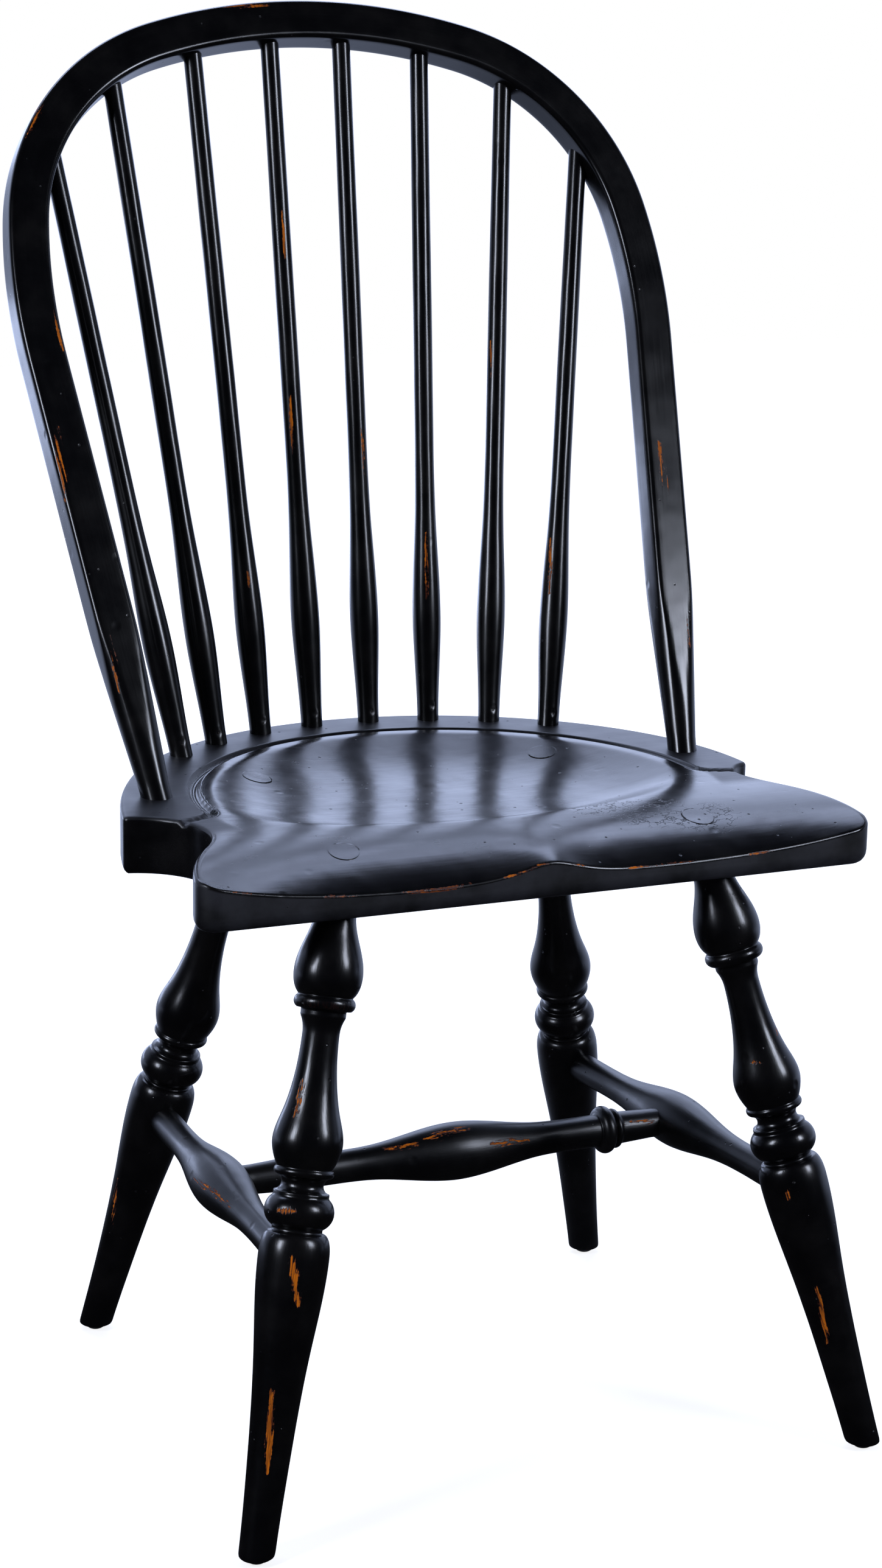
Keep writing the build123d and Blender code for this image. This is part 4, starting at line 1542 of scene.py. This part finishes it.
@dataclass
class Spindles:
    """Eight turned back spindles.

    Attributes:
        circle: Radius of the circle of their feet.
        step: Angle between neighbours.
        tops: Distances of their tops from the crown, along the bow.
        swell: Points of the outline over the plain foot.
        foot_radius: Radius of the foot.
        top_radius: Radius at the bow.
        foot_depth, neck, past: Depth of the foot in the seat, plain part at the bow, and end in the bow.
        net: Faces round a spindle, and rings along it.
        dent_height: Height of the filled brad dent over the deck.
        dent_depth, dent_size: Depth and reach of the dent.
        lip_rise, lip_at, lip_size: Rise, distance and reach of the lip round the dent.
        streaks: Rubbed places by the number of the spindle.
    """

    circle: float = 216.0
    step: float = 12.2
    tops: tuple[float, ...] = (28.5, 91.0, 160.7, 236.0)
    swell: tuple[Point2, ...] = ((10.6, 76.0), (8.2, 146.0), (7.15, 232.0))
    foot_radius: float = 8.0
    top_radius: float = 6.8
    foot_depth: float = 20.0
    neck: float = 30.0
    past: float = 3.0
    net: tuple[int, int] = (44, 420)
    dent_height: float = 9.0
    dent_depth: float = 0.45
    dent_size: float = 2.2
    lip_rise: float = 0.12
    lip_at: float = 3.8
    lip_size: float = 1.4
    streaks: dict[int, tuple[Streak, ...]] = field(default_factory=dict)

    def axes(self, bow: Bow) -> list[tuple[np.ndarray, np.ndarray]]:
        """Foot and top of each spindle's axis, from left to right.

        Args:
            bow: Bow that holds their tops.

        Returns:
            Pairs of points.
        """
        origin, right, up, _ = bow.frame()
        line, _, _ = bow.line()
        crown = len(line) // 2
        run = np.concatenate(([0.0], np.cumsum(np.linalg.norm(np.diff(line[crown::-1], axis=0), axis=1))))
        pairs = []
        for side, ranks in ((Side.LEFT, (3, 2, 1, 0)), (Side.RIGHT, (0, 1, 2, 3))):
            for rank in ranks:
                a = math.radians(self.step * (rank + 0.5))
                base = plan(side.value * self.circle * math.sin(a), self.circle * math.cos(a), SEAT_HEIGHT)
                x, s = (np.interp(self.tops[rank], run, line[crown::-1, k]) for k in (0, 1))
                pairs.append((base, origin + right * side.value * x + up * s))
        return pairs

    def build(self, bow: Bow, lathe: LatheTree, paint: bpy.types.Material) -> None:
        """Build the spindles, with the filled dents at their feet.

        Args:
            bow: Bow that holds their tops.
            lathe: Tree that turns outlines.
            paint: Material.
        """
        for number, (base, top) in enumerate(self.axes(bow), start=1):
            length = float(np.linalg.norm(top - base))
            neck = (self.top_radius, length - self.neck)
            line = [(r, -self.foot_depth) for r in (0.0, self.foot_radius)]
            line += spline([(self.foot_radius, 0.0), *self.swell, neck], (0, 1), (0, 1))
            line += [(r, length + self.past) for r in (self.top_radius, 0.0)]
            name = f"spindle_{number}"
            member = Turning(name + "_turned", base, top, line, *self.net, seed=0.9 * number)
            member.streaks = self.streaks.get(number, ())
            mesh = member.build(lathe, paint)
            self.dent(mesh, base, unit(top - base), number)
            settle(member.name, mesh, (name,))

    def dent(self, mesh: bpy.types.Mesh, base: np.ndarray, up: np.ndarray, number: int) -> None:
        """Press the filled brad dent in the front of a spindle's foot.

        Args:
            mesh: Mesh of the spindle.
            base: Foot of the spindle at the deck.
            up: Direction up the spindle.
            number: Number of the spindle, which varies the dent.
        """
        front = np.array((0.0, -1.0, 0.0))
        front = unit(front - up * (front @ up))
        centre = base + up * (self.dent_height + 1.5 * math.sin(2.3 * number)) + front * self.foot_radius
        spots = spots_of(mesh)
        away = np.linalg.norm(spots - centre, axis=1)
        press = self.dent_depth * np.exp(-((away / self.dent_size) ** 2))
        lip = self.lip_rise * np.exp(-(((away - self.lip_at) / self.lip_size) ** 2))
        move_to(mesh, spots - (press - lip)[:, None] * front)


# Studio
@dataclass(frozen=True)
class Lamp:
    """Soft lamp that aims at the chair.

    Attributes:
        name: Name of the lamp.
        azimuth: Angle to the right of the camera, seen from the chair, in degrees.
        rise: Angle over the chair's middle, in degrees.
        reach: Distance in metres.
        size: Width and height in metres.
        power: Power in watts.
        colour: Colour of the light.
    """

    name: str
    azimuth: float
    rise: float
    reach: float
    size: Point2
    power: float
    colour: Colour


COOL = (0.78, 0.84, 1.0)
LILAC = (0.6, 0.7, 1.0)
LAMPS = (
    Lamp("softbox_left", -50.0, 24.0, 2.5, (0.5, 0.9), 30.0, COOL),
    Lamp("softbox_right", 62.0, 24.0, 2.5, (0.5, 0.9), 30.0, COOL),
    Lamp("lit_backdrop", 180.0, 20.0, 2.6, (2.6, 1.4), 20.0, LILAC),
    Lamp("top_box", -165.0, 51.0, 2.5, (2.6, 0.8), 36.0, LILAC),
    Lamp("rim_left", -150.0, -7.0, 3.2, (2.4, 0.8), 20.0, LILAC),
)


@dataclass
class Studio:
    """Floor, lights, surround and camera.

    Attributes:
        eye: Place of the camera, in millimetres.
        yaw, pitch, roll: Aim of the camera, in degrees.
        focal: Focal length in pixels of the photo's frame.
        frame_height: Height of the photo's frame in pixels.
        target: Point that the lamps aim at, in millimetres.
        lamps: Lamps.
        wall: Colour of the wall and floor that the paint mirrors behind the chair, also the floor's painted
            reflection there.
        painted_front_shade: Painted shade, the dark glow of the floor that the paint mirrors in front.
        floor_half: Half the floor's size in metres.
    """

    eye: Point3 = (-910.01, -2037.78, 992.85)
    yaw: float = -24.27
    pitch: float = 13.99
    roll: float = 0.98
    focal: float = 5340.39
    frame_height: float = 2576.0
    target: Point3 = (0.0, -20.0, 450.0)
    lamps: tuple[Lamp, ...] = LAMPS
    wall: Colour = LILAC
    painted_front_shade: Colour = (0.012, 0.012, 0.014)
    floor_half: float = 6.0

    def aim(self) -> tuple[np.ndarray, np.ndarray, np.ndarray]:
        """Aim of the camera.

        Returns:
            Directions right, up and forward.
        """
        yaw, pitch, roll = (math.radians(a) for a in (self.yaw, self.pitch, self.roll))
        level = math.cos(pitch)
        forward = np.array((-math.sin(yaw) * level, math.cos(yaw) * level, -math.sin(pitch)))
        right = np.array((math.cos(yaw), math.sin(yaw), 0.0))
        up = np.cross(right, forward)
        return (
            math.cos(roll) * right + math.sin(roll) * up,
            -math.sin(roll) * right + math.cos(roll) * up,
            forward,
        )

    def camera(self) -> None:
        """Place the camera where the photo was taken from."""
        lens = bpy.data.cameras.new("camera")
        lens.sensor_fit = "VERTICAL"
        lens.sensor_height = 36.0
        lens.lens = self.focal * lens.sensor_height / self.frame_height
        lens.clip_start, lens.clip_end = 0.05, 60.0
        view = bpy.data.objects.new("camera", lens)
        right, up, forward = self.aim()
        turn = Matrix((right, up, -forward)).transposed().to_4x4()
        view.matrix_world = Matrix.Translation(Vector(self.eye) * MM) @ turn
        bpy.context.scene.collection.objects.link(view)
        bpy.context.scene.camera = view

    def lamp(self, lamp: Lamp) -> None:
        """Add a soft lamp.

        Args:
            lamp: Lamp to add.
        """
        right, _, forward = self.aim()
        side, back = unit(right * (1, 1, 0)), -unit(forward * (1, 1, 0))
        a, e = math.radians(lamp.azimuth), math.radians(lamp.rise)
        way = (back * math.cos(a) + side * math.sin(a)) * math.cos(e) + np.array((0, 0, math.sin(e)))
        light = bpy.data.lights.new(lamp.name, "AREA")
        light.shape = "RECTANGLE"
        light.size, light.size_y = lamp.size
        light.energy = lamp.power
        light.color = lamp.colour
        box = bpy.data.objects.new(lamp.name, light)
        box.location = Vector(self.target) * MM + Vector(way) * lamp.reach
        box.rotation_euler = Vector(way).to_track_quat("Z", "Y").to_euler()
        box.visible_camera = False
        bpy.context.scene.collection.objects.link(box)

    def surround(self) -> None:
        """Build the white surround, bright behind the chair and dim in front of it."""
        world = bpy.data.worlds.new("studio")
        bpy.context.scene.world = world
        world.use_nodes = True
        w = Wiring(world.node_tree)
        way = w.add("ShaderNodeTexCoord").outputs["Generated"]
        forward = unit(self.aim()[2] * (1, 1, 0))
        height = w.add("ShaderNodeSeparateXYZ", {0: way}).outputs["Z"]
        flat = w.less(w.math("MULTIPLY", height, height))
        level = w.math("SQRT", w.math("MAXIMUM", flat, 0.01))
        facing = w.math("DIVIDE", w.vector("DOT_PRODUCT", way, tuple(forward)), level)
        behind = w.rise(facing, 0.0, 0.7)
        low = w.less(w.rise(height, 0.5, 0.74))
        glow = w.math("MULTIPLY_ADD", w.math("MULTIPLY", behind, low), 0.98, 0.02)
        wall = w.mix(glow, (0.0, 0.0, 0.0), self.wall)
        path = w.add("ShaderNodeLightPath").outputs
        seen = w.math("MAXIMUM", path["Is Camera Ray"], path["Is Transmission Ray"])
        shade = w.mix(seen, wall, (1.0, 1.0, 1.0))
        back = w.add("ShaderNodeBackground", {"Color": shade, "Strength": 1.0})
        w.add("ShaderNodeOutputWorld", {"Surface": back.outputs[0]})

    def floor(self) -> None:
        """Lay the pale floor; in glossy rays it glows as a painted reflection, bright behind the chair and
        painted shade in front of it.
        """
        corners = ((-1, -1), (1, -1), (1, 1), (-1, 1))
        points = [(x * self.floor_half, y * self.floor_half, 0) for x, y in corners]
        sheet = bpy.data.meshes.new("floor")
        sheet.from_pydata(points, [], [(0, 1, 2, 3)])
        paper = bpy.data.materials.new("pale_floor")
        paper.use_nodes = True
        w = Wiring(paper.node_tree)
        path = w.add("ShaderNodeLightPath").outputs
        seen = w.math("MAXIMUM", path["Is Camera Ray"], path["Is Transmission Ray"])
        place = w.add("ShaderNodeTexCoord").outputs["Object"]
        far = w.rise(w.vector("LENGTH", place), 0.4, 1.3, 0.2)
        matt = w.add("ShaderNodeBsdfDiffuse", {"Color": (0.5, 0.5, 0.52, 1.0)})
        glow = w.add("ShaderNodeEmission", {"Color": (1.0, 1.0, 1.0, 1.0)})
        w.feed(glow.inputs["Strength"], w.math("MULTIPLY", seen, w.math("ADD", far, 0.8)))
        both = w.add("ShaderNodeAddShader", {0: matt.outputs[0], 1: glow.outputs[0]})
        forward = unit(self.aim()[2] * (1, 1, 0))
        # Painted reflection: in glossy rays the floor glows instead of being lit, in the wall colour behind
        # the chair and as painted shade in front.
        behind = w.rise(w.vector("DOT_PRODUCT", place, tuple(forward)), 0.1, 1.1)
        painted_reflection = w.add("ShaderNodeEmission", {"Color": w.mix(behind, self.painted_front_shade, self.wall)})
        shown = w.add("ShaderNodeMixShader", {0: path["Is Glossy Ray"], 1: both.outputs[0]})
        w.feed(shown.inputs[2], painted_reflection.outputs[0])
        w.add("ShaderNodeOutputMaterial", {"Surface": shown.outputs[0]})
        sheet.materials.append(paper)
        floor = bpy.data.objects.new("floor", sheet)
        bpy.context.scene.collection.objects.link(floor)

    def build(self) -> None:
        """Build the whole studio."""
        self.camera()
        self.surround()
        self.floor()
        for lamp in self.lamps:
            self.lamp(lamp)
        bpy.context.scene.view_settings.view_transform = "Standard"


# Rubbed places, and along the front arris their starts, ends, widths and depths
BOW_STREAKS = (
    Streak((-211.8, 211.4, 901.8), (-229.5, 198.2, 876.0), 4.5, 0.6),
    Streak((-231.5, 151.0, 775.0), (-225.4, 129.8, 735.7), 2.8, 0.8),
    Streak((-239.7, 105.8, 686.5), (-239.4, 83.9, 637.0), 3.4, 0.8),
    Streak((-223.8, 40.7, 551.8), (-221.6, 24.9, 513.3), 3.2, 0.85),
    Streak((222.8, 91.6, 657.2), (220.9, 73.8, 620.2), 3.6, 0.8),
    Streak((-66.9, 242.0, 966.8), (-29.0, 242.1, 968.5), 2.4, 0.7),
    Streak((222.6, 35.0, 540.1), (218.2, 23.0, 515.3), 3.2, 0.6),
)
SPINDLE_STREAKS = {
    3: (Streak((-74.2, 168.9, 566.2), (-73.4, 166.0, 553.1), 2.5, 0.8),),
    4: (
        Streak((-28.1, 220.5, 822.5), (-27.7, 214.9, 787.5), 2.2),
        Streak((-29.2, 199.7, 688.4), (-28.8, 192.9, 646.4), 2.5, 0.9),
    ),
    5: (Streak((26.6, 194.9, 664.3), (26.5, 189.1, 628.5), 2.2, 0.8),),
    6: (Streak((70.7, 173.7, 584.9), (67.9, 163.1, 535.7), 2.2),),
    7: (Streak((129.9, 191.5, 725.0), (127.6, 185.3, 698.3), 2.0, 0.8),),
    8: (Streak((158.7, 138.6, 581.2), (152.7, 126.2, 541.8), 2.5, 0.9),),
}
LEG_STREAKS = {
    "leg_front_left": (
        Streak((-194.7, -231.8, 196.6), (-193.6, -236.8, 179.6), 4.0),
        Streak((-194.4, -236.6, 179.7), (-192.9, -239.4, 166.0), 4.5, 0.9),
        Streak((-212.4, -243.1, 112.0), (-218.8, -253.6, 60.7), 3.6, 1.3),
        Streak((-197.9, -217.2, 223.6), (-189.9, -224.5, 224.3), 4.0, 0.8),
        Streak((-173.2, -194.9, 300.8), (-182.0, -203.7, 280.0), 4.0, 0.7),
    ),
    "leg_front_right": (
        Streak((190.4, -241.5, 119.5), (198.5, -246.1, 79.4), 4.2, 0.8),
        Streak((170.3, -229.5, 189.4), (171.4, -230.6, 182.1), 2.5),
        Streak((152.5, -205.8, 276.2), (157.6, -210.2, 276.5), 2.5, 0.8),
        Streak((174.6, -195.3, 298.6), (173.9, -202.0, 292.0), 2.5, 0.7),
    ),
    "leg_rear_left": (Streak((-196.7, 112.1, 128.3), (-200.0, 115.6, 91.6), 3.0, 0.7),),
    "side_stretcher_left": (
        Streak((-195.8, -50.8, 185.6), (-194.4, -79.8, 188.7), 4.0, 0.62),
        Streak((-194.4, -79.8, 188.7), (-191.9, -112.3, 187.0), 4.5, 0.6),
    ),
    "cross_stretcher": (
        Streak((-57.3, -61.2, 191.7), (-32.1, -65.2, 194.2), 4.5, 0.66),
        Streak((-27.0, -64.2, 195.9), (6.2, -61.6, 199.6), 6.0, 0.66),
        Streak((19.8, -71.9, 188.5), (51.8, -67.0, 186.2), 5.0, 0.6),
        Streak((130.4, -64.1, 186.8), (154.6, -63.6, 185.3), 3.4, 0.6),
    ),
}
SEAT_STREAKS = (Streak((-137.2, -137.3, 443.0), (-111.5, -137.7, 442.8), 6.0, 0.38),)
FRONT_WEAR = (
    (-229.0, -210.0, 2.0, 0.5),
    (-160.0, -134.0, 1.9, 0.45),
    (-106.0, -56.0, 2.4, 0.52),
    (-34.0, -3.0, 2.6, 0.58),
    (6.0, 26.0, 1.7, 0.42),
    (58.0, 106.0, 2.4, 0.54),
    (148.0, 166.0, 1.8, 0.42),
)


def main() -> None:
    """Build the chair's looks and the studio."""
    logging.basicConfig(level=logging.INFO, format="%(name)s: %(message)s")
    Studio().build()
    turned = RubbedPaint("rubbed_black_turned").material()
    rail = RubbedPaint("rubbed_black_rail", gloss=0.34).material()
    slim = RubbedPaint("rubbed_black_slim", relief=0.08, pits=0.12).material()
    bent = RubbedPaint("rubbed_black_bent", grain_along=14.0, gloss=0.2, relief=0.16, pits=0.15).material()
    board = RubbedPaint(
        "rubbed_black_board", grain_across=420.0, grain_along=9.0,
        gloss=0.24, relief=0.3, dents=0.6, pits=0.3,
    ).material()
    steel = DullMetal("dull_steel").material()
    iron = DullMetal("dark_iron", (0.16, 0.15, 0.14), (0.05, 0.04, 0.035), 0.5).material()

    lathe = LatheTree()
    seat = Seat(streaks=SEAT_STREAKS, front_wear=FRONT_WEAR)
    settle("seat_board", seat.build(board), ("seat",))
    bow = Bow(streaks=BOW_STREAKS)
    settle("bow_bar", bow.build(bent), ("bow",))
    Spindles(streaks=SPINDLE_STREAKS).build(bow, lathe, slim)
    legs = LegSet(streaks=LEG_STREAKS)
    legs.legs(seat, lathe, turned)
    legs.stretchers(lathe, rail)

    for name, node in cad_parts.items():
        finish = steel if name.startswith("glide") else iron if name == "brads" else turned
        node.data.materials.clear()
        node.data.materials.append(finish)
        LOG.info("node %s: %s", name, finish.name)


if __name__ == "__main__":
    main()
